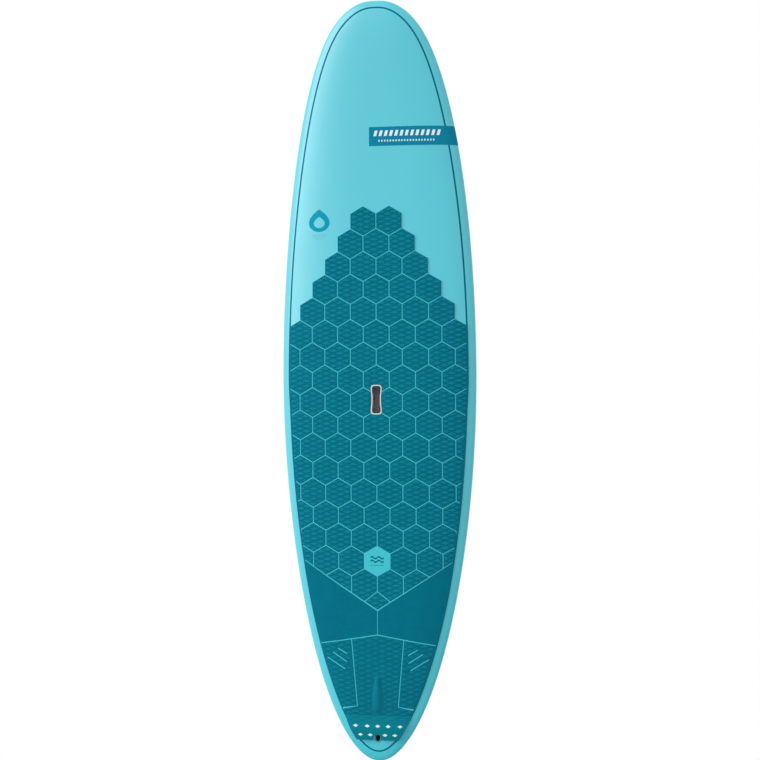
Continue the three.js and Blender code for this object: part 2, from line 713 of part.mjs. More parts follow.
add('hex_deck_pad', hexPad(), COLOUR.pad, 0.85);
add('badge_tile', badgeTile(), COLOUR.paleEva, 0.85);
for (const [side, word] of [[-1, 'left'], [1, 'right']]) {
  add(`mid_pad_${word}`, midPad(side), COLOUR.pad, 0.85);
  add(`tail_pad_${word}`, tailSidePad(side), COLOUR.pad, 0.85);
}
add('tail_pad_center', tailCentrePad(), COLOUR.pad, 0.85);
add('kick_pad', kickPad(), COLOUR.pad, 0.85);
add('kick_pad_underlay', kickUnderlay(), COLOUR.white, 0.85);
add('arch_bar', archBar(), COLOUR.pad, 0.85);

add('handle_rim', handleRim(), COLOUR.grey, 0.4);
add('handle_cup', handleCup(), COLOUR.black, 0.6);
add('handle_grip_strip', gripStrip(), COLOUR.black, 0.8);
add('vent_valve_body', ventBody(), COLOUR.grey, 0.5);
add('vent_valve_screw', ventScrew(), COLOUR.steel, 0.3, 1);
add('vent_valve_o_ring', ventRing(), COLOUR.black, 0.7);
add('leash_plug_cup', leashCup(), COLOUR.grey, 0.45);
add('leash_plug_pin', leashPin(), COLOUR.steel, 0.3, 1);

add('center_fin_box', placed(centreBox(), CENTRE_PLACE), COLOUR.black, 0.5);
add('center_fin', placed(centreFin(), CENTRE_PLACE), COLOUR.fin, 0.3);
add('center_fin_pin', placed(finPin(), CENTRE_PLACE), COLOUR.brass, 0.35, 1);
add('center_fin_screw', placed(finScrew(), CENTRE_PLACE), COLOUR.steel, 0.3, 1);
add('center_fin_nut_plate', placed(nutPlate(), CENTRE_PLACE), COLOUR.brass, 0.35, 1);
for (const [side, word] of [[-1, 'left'], [1, 'right']]) {
  add(`side_fin_box_${word}`, placed(sideBox(), sidePlace(side)), COLOUR.black, 0.5);
  add(`side_fin_${word}`, placed(sideFin(), sidePlace(side)), COLOUR.fin, 0.3);
  add(`side_fin_screw_${word}`, placed(sideScrew(), sidePlace(side)), COLOUR.steel, 0.3, 1);
}

export default board;
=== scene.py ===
"""Looks of the stand up paddleboard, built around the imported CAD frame.

Lengths in this script are millimetres; mesh_object turns them into metres.
+Y points to the nose, +X to the right seen from above, +Z out of the deck.
"""

import math

import bmesh
import bpy
from mathutils import Matrix, Vector


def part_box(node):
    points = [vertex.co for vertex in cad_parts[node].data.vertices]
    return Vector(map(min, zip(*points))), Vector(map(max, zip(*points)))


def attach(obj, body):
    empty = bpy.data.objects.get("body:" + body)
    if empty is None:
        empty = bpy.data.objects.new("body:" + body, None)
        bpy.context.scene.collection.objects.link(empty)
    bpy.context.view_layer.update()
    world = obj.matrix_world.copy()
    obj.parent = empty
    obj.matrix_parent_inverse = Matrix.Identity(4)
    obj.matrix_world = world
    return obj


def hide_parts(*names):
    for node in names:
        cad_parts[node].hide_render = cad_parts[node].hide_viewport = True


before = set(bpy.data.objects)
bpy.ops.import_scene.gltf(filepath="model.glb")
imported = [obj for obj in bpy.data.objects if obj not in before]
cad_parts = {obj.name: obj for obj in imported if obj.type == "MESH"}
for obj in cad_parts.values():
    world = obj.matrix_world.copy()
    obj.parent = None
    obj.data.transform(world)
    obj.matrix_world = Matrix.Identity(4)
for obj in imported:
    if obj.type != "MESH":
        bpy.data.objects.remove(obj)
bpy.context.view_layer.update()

MM = 0.001


def node_box(name):
    """Lowest and highest corner of a CAD node, in millimetres."""
    low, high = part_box(name)
    return [v / MM for v in low], [v / MM for v in high]


# ---- driving sizes ----
HULL_LOW, HULL_HIGH = node_box("bottom_shell")
BOARD_LENGTH = round(HULL_HIGH[1] - HULL_LOW[1])
BOARD_WIDTH = round(HULL_HIGH[0] - HULL_LOW[0])
BOARD_THICKNESS = 112
TIP = BOARD_LENGTH / 2
WIDE_POINT_Y = 25
NOSE_ROCKER = 108
TAIL_ROCKER = 68
FLAT_FRONT_Y = 250
FLAT_REAR_Y = -350
RAIL_APEX = 0.4  # share of the thickness below the widest line of the rail
FLAT_SHARE = 0.62  # share of the half width where the bottom is flat
SHELL = 2.8  # thickness of the skin

PAD_INSET = 31.8  # from the rail to the pads, ahead of the handle
REAR_INSET = 3.6  # added to it behind the handle
TAIL_INSET = 5.8  # added again towards the tail
BASE_LOW, BASE_TOP = 0.2, 4.4  # heights of the pale lower layer of the pads
PAD_LOW, PAD_TOP = 0.3, 5.3
TILE_LOW = BASE_TOP - 0.2
FILM_LOW, FILM_TOP = -0.3, 0.12  # films start just inside the lacquer
CUT_LOW, CUT_HIGH = 60, 160  # cutters pass through the deck between these heights

BORDER = 4  # smooth rim along the side edges of the pads
LINE = 2.1  # half width of a pale line
CENTRE_LINE = 1.4  # half width of the pale line between the mid pads
HEX_FLATS = 104.8
HEX_PITCH = HEX_FLATS * math.sqrt(3) / 2
HEX_SIDE = HEX_FLATS / math.sqrt(3)
HEX_FRONT_ROW_Y = 644.5
HEX_ROWS = 19
STEPPED_ROWS = 6  # front rows that widen towards the rear
BADGE_ROW = 15
SHOULDER_FRONT_Y = 240
SHOULDER_REAR_Y = -730
VEE_APEX_Y = -913
VEE_SLOPE = 0.647
ARCH_APEX_Y = -1012
ARCH_SLOPE = 0.172
TAIL_FRONT_X, TAIL_REAR_X, TAIL_REAR_Y = 105.5, 82.7, -1299  # line beside the centre tail pad
TAIL_END_Y = -1311
KICK_FRONT_Y = -1334
KICK_REAR_Y = -1430
KICK_RISE = 12

HANDLE_LOW, HANDLE_HIGH = node_box("handle_rim")
HANDLE_Y = (HANDLE_LOW[1] + HANDLE_HIGH[1]) / 2
RIM_WIDTH = 5.6
PLUG_LOW, PLUG_HIGH = node_box("leash_plug_cup")
PLUG_Y = (PLUG_LOW[1] + PLUG_HIGH[1]) / 2
PLUG_TOP = PLUG_HIGH[2]
BAR_LOW, BAR_HIGH = node_box("arch_bar")
BAR_REAR_Y = BAR_LOW[1]
BAR_LENGTH = BAR_HIGH[1] - BAR_REAR_Y
BAR_RISE = 9


def smoothstep(value, low, high):
    t = min(max((value - low) / (high - low), 0), 1)
    return t * t * (3 - 2 * t)


# ---- hull surface ----
def half_width(y, inset=0.0):
    nose = y > WIDE_POINT_Y
    reach = TIP - inset + (-WIDE_POINT_Y if nose else WIDE_POINT_Y)
    u = min(abs(y - WIDE_POINT_Y) / reach, 1)
    power, root = (1.93, 2.57) if nose else (1.9, 1.88)
    point = 1 - 0.15 * math.exp(min(y - TIP + inset, 0) / 45) if nose else 1
    return (BOARD_WIDTH / 2 - inset) * (1 - u ** power) ** (1 / root) * point


def rocker(y):
    nose = NOSE_ROCKER * (max(y - FLAT_FRONT_Y, 0) / (TIP - FLAT_FRONT_Y)) ** 2.6
    tail = TAIL_ROCKER * (max(FLAT_REAR_Y - y, 0) / (TIP + FLAT_REAR_Y)) ** 2.2
    return nose + tail


def thickness(y):
    u = min(abs(y) / TIP, 1)
    return BOARD_THICKNESS * (1 - u ** (2.4 if y > 0 else 1.75)) ** (1 / 2.2)


def deck_height(x, y):
    share = min(abs(x) / max(half_width(y), 1e-6), 1)
    rise = (1 - RAIL_APEX) * (1 - share ** 2.9) ** (1 / 2.1)
    return rocker(y) + thickness(y) * (RAIL_APEX + rise)


def bottom_height(x, y):
    share = min(abs(x) / max(half_width(y), 1e-6), 1)
    r = max((share - FLAT_SHARE) / (1 - FLAT_SHARE), 0)
    return rocker(y) + thickness(y) * RAIL_APEX * (1 - math.sqrt(max(1 - r * r, 0)))


def deck_normal(x, y, step=0.5):
    across = (deck_height(x + step, y) - deck_height(x - step, y)) / (2 * step)
    along = (deck_height(x, y + step) - deck_height(x, y - step)) / (2 * step)
    return Vector((-across, -along, 1)).normalized()


def on_deck(x, y, height):
    """The point at a height above the deck, along the deck's normal; height is a number or height(x, y)."""
    if callable(height):
        height = height(x, y)
    return Vector((x, y, deck_height(x, y))) + height * deck_normal(x, y)


def pad_half(y):
    """Half width of the deck pads and of the painted pinstripe."""
    inset = (PAD_INSET + 0.001 * max(y, 0) + REAR_INSET * smoothstep(-y, -20, 160)
             + TAIL_INSET * smoothstep(-y, 800, 1400))
    return half_width(y) - inset


# ---- mesh helpers ----
def sharpen(piece, degrees):
    piece.data.set_sharp_from_angle(angle=math.radians(degrees))


def new_object(name, data):
    thing = bpy.data.objects.new(name, data)
    bpy.context.scene.collection.objects.link(thing)
    return thing


def mesh_object(name, points, faces, materials=(), indices=None, sharp=35):
    mesh = bpy.data.meshes.new(name)
    mesh.from_pydata([tuple(c * MM for c in p) for p in points], [], faces)
    for material in materials:
        mesh.materials.append(material)
    if indices:
        mesh.polygons.foreach_set("material_index", indices)
    mesh.shade_smooth()
    piece = new_object(name, mesh)
    sharpen(piece, sharp)
    mesh.update()
    return piece


def outward(piece):
    """Turns all faces of a closed mesh outwards."""
    work = bmesh.new()
    work.from_mesh(piece.data)
    bmesh.ops.recalc_face_normals(work, faces=work.faces)
    work.to_mesh(piece.data)
    work.free()
    return piece


def cut(piece, cutter, sharp=35):
    """Cuts a closed cutter out of a piece and removes the cutter."""
    modifier = piece.modifiers.new("cut", "BOOLEAN")
    modifier.operation = "DIFFERENCE"
    modifier.solver = "EXACT"
    modifier.object = cutter
    bpy.context.view_layer.update()
    graph = bpy.context.evaluated_depsgraph_get()
    result = bpy.data.meshes.new_from_object(piece.evaluated_get(graph))
    uncut = piece.data
    piece.modifiers.clear()
    piece.data = result
    bpy.data.meshes.remove(uncut)
    bpy.data.objects.remove(cutter)
    result.shade_smooth()
    sharpen(piece, sharp)


def tube_faces(first, count, bands):
    """Faces between rings of equal point counts that are stored one after the other."""
    faces = []
    for start in range(first, first + bands * count, count):
        for a, b in edges(list(range(start, start + count))):
            faces.append((a, b, b + count, a + count))
    return faces


def lofted(name, rings, materials=(), closed_ends=True, sharp=35):
    """Tube through rings with equal point counts."""
    count, bands = len(rings[0]), len(rings) - 1
    points = [p for ring in rings for p in ring]
    faces = tube_faces(0, count, bands)
    if closed_ends:
        faces.append(tuple(range(count))[::-1])
        faces.append(tuple(range(bands * count, len(points))))
    return outward(mesh_object(name, points, faces, materials, sharp=sharp))


def at_height(outline, z):
    return [(x, y, z) for x, y in outline]


def prism(outline, low=CUT_LOW, high=CUT_HIGH, place=None):
    """Closed block over an outline, upright or set in a tilted place."""
    rings = [at_height(outline, z) for z in (low, high)]
    if place:
        rings = [[place @ Vector(point) for point in ring] for ring in rings]
    return lofted("prism", rings)


def join(first, other):
    """Merges a mesh into the first one, which has the same list of materials."""
    work = bmesh.new()
    work.from_mesh(first.data)
    work.from_mesh(other.data)
    work.to_mesh(first.data)
    work.free()
    bpy.data.objects.remove(other)


def settle(piece, slot, *nodes, body="board"):
    """Declares a piece's body and the CAD nodes that it stands in for; its slot argument is not used."""
    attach(piece, body)
    if nodes:
        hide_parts(*nodes)


def glue_foam(piece, slot, *nodes):
    """Declares the body and CAD nodes of a firm foam piece that is glued to the deck."""
    settle(piece, slot, *nodes)


# ---- flat outlines ----
def spaced(low, high, steps):
    return [low + (high - low) * k / steps for k in range(steps + 1)]


def between(p, q, share):
    return p[0] + share * (q[0] - p[0]), p[1] + share * (q[1] - p[1])


def edges(polygon):
    return zip(polygon, polygon[1:] + polygon[:1])


def area(polygon):
    total = 0
    for (ax, ay), (bx, by) in edges(polygon):
        total += ax * by - bx * ay
    return total / 2


def clip_line(polygon, a, b, c):
    """The part of a polygon where a * x + b * y <= c."""
    result = []
    for p, q in edges(polygon):
        past_p = a * p[0] + b * p[1] - c
        past_q = a * q[0] + b * q[1] - c
        if past_p <= 0:
            result.append(p)
        if past_p < 0 < past_q or past_q < 0 < past_p:
            result.append(between(p, q, past_p / (past_p - past_q)))
    return result


def left_of(a, b, length=1):
    """Numbers for clip_line that keep what is left of the way from a to b, divided by its length if given."""
    nx, ny = (b[1] - a[1]) / length, (a[0] - b[0]) / length
    return nx, ny, nx * a[0] + ny * a[1]


def clip_convex(polygon, window):
    """The part of a polygon inside a convex anticlockwise window."""
    for a, b in edges(window):
        polygon = clip_line(polygon, *left_of(a, b))
    return polygon


def outside_window(polygon, window):
    """The largest part of a polygon outside a convex anticlockwise window, if the window touches it."""
    if len(clip_convex(polygon, window)) < 3:
        return polygon
    lines = [left_of(a, b) for a, b in edges(window)]
    return max((clip_line(polygon, -nx, -ny, -offset) for nx, ny, offset in lines), key=area)


def clip_sides(polygon, margin):
    """The part of a polygon between the pads' side edges, moved inwards by a margin."""
    for side in (1, -1):
        def within(x, y):
            return side * x <= pad_half(y) - margin
        result = []
        for p, q in edges(polygon):
            if within(*p):
                result.append(p)
            if within(*p) != within(*q):
                low, high = (0.0, 1.0) if within(*p) else (1.0, 0.0)
                for _ in range(20):
                    middle = (low + high) / 2
                    if within(*between(p, q, middle)):
                        low = middle
                    else:
                        high = middle
                result.append(between(p, q, low))
        polygon = result
    return polygon


def shrink(polygon, distance):
    """A convex anticlockwise polygon with every edge moved inwards."""
    result = polygon
    for a, b in edges(polygon):
        length = math.dist(a, b)
        if length >= 1e-6:
            nx, ny, offset = left_of(a, b, length)
            result = clip_line(result, nx, ny, offset - distance)
    return result


def sideways(a, b, width):
    """Half a width, square to the way from a to b and to its right."""
    nx, ny, _ = left_of(a, b, math.dist(a, b))
    return nx * width / 2, ny * width / 2


def rectangle(x0, x1, y0, y1):
    return [(x0, y0), (x1, y0), (x1, y1), (x0, y1)]


def hexagon(cx, cy, inset=0.0):
    radius = HEX_SIDE - inset * 2 / math.sqrt(3)
    angles = [math.pi / 3 * (k + 0.5) for k in range(6)]
    return [(cx + radius * math.cos(a), cy + radius * math.sin(a)) for a in angles]


def rounded_outline(width, length, radius, steps=6):
    points = []
    for corner in range(4):
        cx = (width / 2 - radius) * (1 if corner in (0, 3) else -1)
        cy = (length / 2 - radius) * (1 if corner < 2 else -1)
        for k in range(steps + 1):
            angle = math.pi / 2 * (corner + k / steps)
            points.append((cx + radius * math.cos(angle), cy + radius * math.sin(angle)))
    return points


def signed_power(value, power):
    return math.copysign(abs(value) ** power, value)


def waisted_outline(length, width, waist, grow=0.0, count=96):
    """An oblong with rounded corners whose long sides draw in at the middle, grown all round."""
    length, width, waist = length + 2 * grow, width + 2 * grow, waist + 2 * grow
    bulge = (width / 1.77 - waist / 2) / 0.62
    points = []
    for k in range(count):
        angle = 2 * math.pi * (k + 0.5) / count
        cos, sin = math.cos(angle), math.sin(angle)
        side = waist / 2 + bulge * abs(sin)
        points.append((signed_power(cos, 0.5) * side, signed_power(sin, 0.5) * length / 2))
    return points


def shifted(outline, dy):
    return [(x, y + dy) for x, y in outline]


def rim_outline(grow):
    """The handle rim's inner edge, grown all round."""
    return shifted(waisted_outline(109, 34.5, 28, grow), HANDLE_Y)


def fitted_slab(regions, low, high, step_x=15.0, step_y=15.0):
    """Closed layer over the deck: convex regions cut into small fields, each following the surface.

    low and high are heights above the deck, as numbers or as functions of x, y.
    """
    numbers, fields = {}, []  # the number of each place, and the fields as lists of numbers
    for region in regions:
        if len(region) < 3:
            continue
        if area(region) < 0:
            region = region[::-1]
        xs, ys = [p[0] for p in region], [p[1] for p in region]
        for i in range(math.floor(min(xs) / step_x), math.ceil(max(xs) / step_x)):
            for j in range(math.floor(min(ys) / step_y), math.ceil(max(ys) / step_y)):
                x, y = i * step_x, j * step_y
                field = clip_convex(rectangle(x, x + step_x, y, y + step_y), region)
                if area(field) < 0.02:
                    continue
                corners = dict.fromkeys((round(px, 2), round(py, 2)) for px, py in field)
                ring = [numbers.setdefault(corner, len(numbers)) for corner in corners]
                if len(ring) >= 3:
                    fields.append(ring)
    count = len(numbers)
    points = [on_deck(x, y, height) for height in (high, low) for x, y in numbers]
    faces = [tuple(ring) for ring in fields]
    faces += [tuple(k + count for k in reversed(ring)) for ring in fields]
    sides = {side for ring in fields for side in edges(ring)}
    faces += [(b, a, a + count, b + count) for a, b in sides if (b, a) not in sides]
    return points, faces


def deck_layer(name, regions, low, high, materials, step_x=15.0, step_y=15.0, sharp=35):
    """The fitted slab as a piece."""
    points, faces = fitted_slab(regions, low, high, step_x, step_y)
    return outward(mesh_object(name, points, faces, materials, sharp=sharp))


# ---- materials ----
def srgb(red, green, blue):
    """Linear colour of a screen colour given in 0..255."""
    linear = []
    for value in (red, green, blue):
        c = value / 255
        linear.append(c / 12.92 if c <= 0.04045 else ((c + 0.055) / 1.055) ** 2.4)
    return (*linear, 1.0)


def shaded(colour, factor):
    return (*(min(c * factor, 1.0) for c in colour[:3]), 1.0)


def feed(tree, node, **values):
    """Sets a node's properties (small letters) and sockets (capital letters, _ for a space)."""
    for name, value in values.items():
        if name[0].islower():
            setattr(node, name, value)
        elif isinstance(value, bpy.types.NodeSocket):
            tree.links.new(value, node.inputs[name.replace("_", " ")])
        else:
            node.inputs[name.replace("_", " ")].default_value = value
    return node


def add_node(tree, kind, **values):
    return feed(tree, tree.nodes.new(kind), **values)


def object_noise(tree, scale, detail=3.0, stretch=(1, 1, 1)):
    """Noise in the object's own space; scale counts features per metre."""
    place = add_node(tree, "ShaderNodeTexCoord").outputs["Object"]
    mapping = add_node(tree, "ShaderNodeMapping", Scale=stretch, Vector=place)
    noise = add_node(tree, "ShaderNodeTexNoise", Scale=scale, Detail=detail, Vector=mapping.outputs["Vector"])
    return noise.outputs["Fac"]


def ramp(tree, value, stops):
    node = add_node(tree, "ShaderNodeValToRGB", Fac=value)
    for k, (position, colour) in enumerate(stops):
        element = node.color_ramp.elements[k] if k < 2 else node.color_ramp.elements.new(position)
        element.position = position
        element.color = colour
    return node.outputs["Color"]


def add_bump(tree, shader, value, distance, strength=1.0):
    bump = add_node(tree, "ShaderNodeBump", Strength=strength, Distance=distance, Height=value)
    feed(tree, shader, Normal=bump.outputs["Normal"])


def mapped(tree, value, **limits):
    return add_node(tree, "ShaderNodeMapRange", Value=value, **limits).outputs["Result"]


def roughness_from(tree, shader, value, low, high):
    feed(tree, shader, Roughness=mapped(tree, value, To_Min=low, To_Max=high))


def new_material(name, roughness, **values):
    material = bpy.data.materials.new(name)
    material.use_nodes = True
    tree = material.node_tree
    return material, tree, feed(tree, tree.nodes["Principled BSDF"], Roughness=roughness, **values)


def mottle(tree, shader, value, colour, low, high, start=0.3, end=0.7):
    """Base colour between two shades of one tone, by a value."""
    tone = srgb(*colour)
    stops = [(start, shaded(tone, low)), (end, shaded(tone, high))]
    feed(tree, shader, Base_Color=ramp(tree, value, stops))


def lacquer_material(name, colour):
    """Satin pearl lacquer: strong reflection of its flakes, faint cloudiness and orange peel."""
    material, tree, shader = new_material(name, 0.38, IOR=1.95, Diffuse_Roughness=0.6)
    mottle(tree, shader, object_noise(tree, 3.0, 5.0), colour, 0.985, 1.015)
    roughness_from(tree, shader, object_noise(tree, 9.0, 6.0), 0.34, 0.44)
    add_bump(tree, shader, object_noise(tree, 420.0, 2.0), 0.00004, 0.5)
    return material


def paint_material(name, colour):
    """Printed film under the lacquer."""
    material, tree, shader = new_material(name, 0.35, Specular_IOR_Level=0.06)
    mottle(tree, shader, object_noise(tree, 60.0, 4.0), colour, 0.97, 1.03)
    add_bump(tree, shader, object_noise(tree, 420.0, 2.0), 0.00003, 0.5)
    return material


def eva_material(name, colour, spread=0.07):
    """Closed-cell foam: fine pores, soft cloudy tone, no gloss."""
    material, tree, shader = new_material(name, 0.88, Specular_IOR_Level=0.06)
    cloud = object_noise(tree, 24.0, 6.0)
    grain = object_noise(tree, 1500.0, 2.0)
    both = add_node(tree, "ShaderNodeMix", Factor=0.45, A=cloud, B=grain).outputs["Result"]
    mottle(tree, shader, both, colour, 1 - spread, 1 + spread, 0.32, 0.68)
    add_bump(tree, shader, grain, 0.00025, 0.6)
    return material


def plastic_material(name, colour, roughness, texture=0.00008):
    """Moulded plastic with a fine spark texture."""
    material, tree, shader = new_material(name, roughness)
    mottle(tree, shader, object_noise(tree, 40.0, 5.0), colour, 0.93, 1.07)
    roughness_from(tree, shader, object_noise(tree, 70.0, 4.0), roughness - 0.05, roughness + 0.08)
    add_bump(tree, shader, object_noise(tree, 1800.0, 2.0), texture, 0.5)
    return material


def metal_material(name, colour, roughness):
    """Turned or drawn metal with fine lines."""
    material, tree, shader = new_material(name, roughness, Metallic=1.0)
    lines = object_noise(tree, 900.0, 3.0, (1, 12, 1))
    mottle(tree, shader, lines, colour, 0.86, 1.05)
    roughness_from(tree, shader, lines, roughness - 0.06, roughness + 0.1)
    add_bump(tree, shader, lines, 0.00003, 0.4)
    return material


def foam_material(name, colour, cell):
    """Expanded bead foam: rounded beads with darker joints."""
    material, tree, shader = new_material(name, 0.9)
    place = add_node(tree, "ShaderNodeTexCoord").outputs["Object"]
    beads = add_node(tree, "ShaderNodeTexVoronoi", Scale=cell, Vector=place).outputs["Distance"]
    mottle(tree, shader, beads, colour, 1, 0.82, 0.2, 0.7)
    add_bump(tree, shader, beads, 0.0006, -0.5)
    return material


def wood_material(name, light, dark):
    """Paulownia strip with grain along the board."""
    material, tree, shader = new_material(name, 0.65)
    grain = object_noise(tree, 60.0, 8.0, (1, 0.04, 1))
    feed(tree, shader, Base_Color=ramp(tree, grain, [(0.35, srgb(*dark)), (0.65, srgb(*light))]))
    add_bump(tree, shader, grain, 0.0003, 0.5)
    return material


def fin_material(name, colour):
    """Fibre-filled nylon: faint fibre streaks and a satin face."""
    material, tree, shader = new_material(name, 0.3, Coat_Weight=0.3)
    streaks = object_noise(tree, 160.0, 7.0, (1, 0.25, 2.2))
    mottle(tree, shader, streaks, colour, 0.72, 1.35, 0.35, 0.68)
    roughness_from(tree, shader, streaks, 0.24, 0.4)
    add_bump(tree, shader, object_noise(tree, 700.0, 2.0), 0.00004, 0.5)
    return material


LACQUER = lacquer_material("hull_lacquer", (66, 214, 230))
PINSTRIPE = paint_material("pinstripe_paint", (0, 112, 134))
DECAL = paint_material("decal_film", (8, 134, 166))
DECAL_WHITE = paint_material("decal_white", (240, 248, 250))
EMBLEM = paint_material("emblem_film", (6, 156, 186))
FAINT = paint_material("faint_film", (78, 186, 204))
# Paler copy of the pad EVA for the tread crowns: painted highlight.
TREAD_PAINTED_HIGHLIGHT = eva_material("eva_tread_painted_highlight", (12, 129, 151))
# The pad EVA's own colour, a little darkened as painted shade for the groove floors and block flanks.
TREAD_BASE_AND_SHADE = eva_material("eva_tread_base_and_painted_shade", (5, 112, 133))
# Paler copy of the pad EVA for the tail and kick tread crowns: painted highlight with less contrast.
TAIL_PAINTED_HIGHLIGHT = eva_material("eva_tail_tread_painted_highlight", (9, 123, 144))
EDGE_EVA = eva_material("eva_pad_edge", (8, 119, 141))
SMOOTH_EVA = eva_material("eva_smooth", (2, 114, 136))
KICK_EVA = eva_material("eva_kick", (9, 125, 141))
PALE_EVA = eva_material("eva_pale_line", (72, 199, 214), 0.03)
WHITE_EVA = eva_material("eva_white", (238, 250, 252), 0.02)
BADGE_INK = eva_material("eva_badge_ink", (8, 110, 132))
RIM_PLASTIC = plastic_material("rim_plastic", (198, 218, 226), 0.35)
PLUG_PLASTIC = plastic_material("plug_plastic", (64, 152, 168), 0.4)
CUP_PLASTIC = plastic_material("cup_plastic", (172, 156, 162), 0.55, 0.0002)
MAT_RUBBER = plastic_material("mat_rubber", (166, 150, 156), 0.8, 0.0003)
DARK_PLASTIC = plastic_material("dark_plastic", (30, 30, 33), 0.55, 0.0002)
BOX_PLASTIC = plastic_material("box_plastic", (26, 30, 34), 0.5)
RUBBER = plastic_material("soft_rubber", (92, 80, 85), 0.8, 0.0003)
STEEL = metal_material("stainless_steel", (200, 204, 208), 0.3)
BLACK_STEEL = metal_material("blackened_steel", (38, 40, 44), 0.45)
BRASS = metal_material("turned_brass", (205, 165, 92), 0.32)
CORE_FOAM = foam_material("core_bead_foam", (238, 238, 228), 260.0)
DENSE_FOAM = foam_material("dense_insert_foam", (214, 198, 140), 900.0)
WOOD = wood_material("stringer_wood", (206, 166, 108), (158, 112, 62))
FIN_NYLON = fin_material("fin_nylon", (14, 58, 72))


# ---- hull skin ----
def hull_section(y, inset, deck_steps, bottom_steps):
    """One ring round the hull, starting on the left rail and going over the deck."""
    width = half_width(y, inset)
    middle = rocker(y) + RAIL_APEX * thickness(y)
    ring = []
    for k in range(2 * deck_steps + 1):
        share = math.sin(math.pi / 2 * (k / deck_steps - 1))
        x = share * half_width(y)
        z = deck_height(x, y) - inset * (1 - abs(share) ** 8)
        ring.append((share * width, y, max(z, middle)))
    for k in range(1, 2 * bottom_steps):
        turn = 1 - k / bottom_steps
        share = signed_power(math.sin(math.pi / 2 * turn), 0.8)
        x = share * half_width(y)
        z = bottom_height(x, y) + inset * (1 - abs(share) ** 8)
        ring.append((share * width, y, min(z, middle)))
    return ring


def hull_stations(inset, count):
    """Y of the rings, closer together towards both ends."""
    stations = [WIDE_POINT_Y]
    for k in range(1, count + 1):
        u = min(math.sin(math.pi / 2 * (1 - (1 - k / count) ** 1.5)), 0.999995)
        stations.append(WIDE_POINT_Y + u * (TIP - inset - WIDE_POINT_Y))
        stations.append(WIDE_POINT_Y - u * (TIP - inset + WIDE_POINT_Y))
    return sorted(stations)


def hull_surface(name, inset, deck_steps, bottom_steps, stations):
    rings = [hull_section(y, inset, deck_steps, bottom_steps) for y in hull_stations(inset, stations)]
    return lofted(name, rings, [LACQUER])


def box_place(x, y, sink, cant=0.0, toe=0.0):
    """Place of a fin box's mouth on the bottom; +Z goes into the board."""
    slope = (rocker(y + 1) - rocker(y - 1)) / 2
    place = Matrix.Translation((x, y, bottom_height(x, y) + sink))
    turn = Matrix.Rotation(math.atan(slope), 4, "X")
    return place @ turn @ Matrix.Rotation(-cant, 4, "Y") @ Matrix.Rotation(toe, 4, "Z")


SIDE_BOX_X, SIDE_BOX_Y = 155, -1200
SIDE_CANT, SIDE_TOE = math.radians(5), math.radians(2.5)
BOX_PLACES = {
    "center": box_place(0, -1140, 0.6),
    "left": box_place(-SIDE_BOX_X, SIDE_BOX_Y, 0.3, -SIDE_CANT, -SIDE_TOE),
    "right": box_place(SIDE_BOX_X, SIDE_BOX_Y, 0.3, SIDE_CANT, SIDE_TOE),
}
BOX_SIZES = {"center": (26, 273), "left": (17, 134), "right": (17, 134)}


def hull_skin():
    skin = hull_surface("hull_skin", 0, 34, 26, 80)
    inner = hull_surface("inner", SHELL, 16, 12, 40)
    inner.data.flip_normals()
    join(skin, inner)
    cut(skin, prism(shifted(waisted_outline(108, 36, 26.6, 2.8), HANDLE_Y)))
    cut(skin, prism(shifted(rounded_outline(26.6, 34.6, 13.2, 8), PLUG_Y)))
    for word, (width, length) in BOX_SIZES.items():
        cut(skin, prism(rounded_outline(width + 0.6, length + 0.6, 6.3), -20, 12, BOX_PLACES[word]))
    settle(skin, "lacquer", "deck_shell", "bottom_shell")


# ---- painted lines and films ----
LINE_WIDTH = 6.6
NOSE_LINE_INSET = 32.2
TAIL_LINE_INSET = 43.5


def line_half(y):
    """Half width of the pinstripe: the pad edge, drawn into an oval at the nose and the tail."""
    nose = smoothstep(y, 300, 900)
    tail = smoothstep(-y, -KICK_REAR_Y - 6, -KICK_REAR_Y + 14)
    if nose > 0:
        oval = half_width(y, NOSE_LINE_INSET) * (1 - 0.043 * (y / TIP) ** 2)
        return pad_half(y) * (1 - nose) + oval * nose
    if tail > 0:
        return pad_half(y) * (1 - tail) + 0.955 * half_width(y, TAIL_LINE_INSET) * tail
    return pad_half(y)


def pinstripe():
    """Fine painted line that follows the pad edge and closes round the nose and the tail."""
    front, rear = TIP - NOSE_LINE_INSET, TAIL_LINE_INSET - TIP
    right = []
    steps = 260
    for k in range(steps + 1):
        y = (front + rear) / 2 - (front - rear) / 2 * math.cos(math.pi * k / steps)
        right.append((line_half(y) if 0 < k < steps else 0.0, y))
    path = right + [(-x, y) for x, y in right[-2:0:-1]]
    rings = []
    for before, (x, y), after in zip(path[-1:] + path, path, path[1:] + path[:1]):
        nx, ny = sideways(before, after, LINE_WIDTH)
        left, right = (x - nx, y - ny), (x + nx, y + ny)
        corners = (left, FILM_TOP), (right, FILM_TOP), (right, FILM_LOW), (left, FILM_LOW)
        rings.append([on_deck(*place, height) for place, height in corners])
    settle(lofted("pinstripe", rings + rings[:1], [PINSTRIPE], False), "lacquer")


def film(name, regions, material, height=FILM_TOP, step=12.0):
    settle(deck_layer(name, regions, FILM_LOW, height, [material], step, step), "lacquer")


DECAL_LOW_Y, DECAL_HIGH_Y, DECAL_LEFT_X = 942, 1018, -26
DECAL_END_TURN = 1.35  # how far the decal wraps round the rail, see hull_point


def hull_point(turn, y, height):
    """Point over the right half of the hull: turn runs 0..1 over the deck and on to 2 under the bottom."""
    def surface(t):
        if t <= 1:
            x = half_width(y) * math.sin(math.pi / 2 * t)
            return Vector((x, y, deck_height(x, y)))
        x = half_width(y) * math.sin(math.pi / 2 * (2 - t)) ** 0.8
        return Vector((x, y, bottom_height(x, y)))
    along = surface(turn + 0.004) - surface(turn - 0.004)
    return surface(turn) + height * Vector((-along.z, 0, along.x)).normalized()


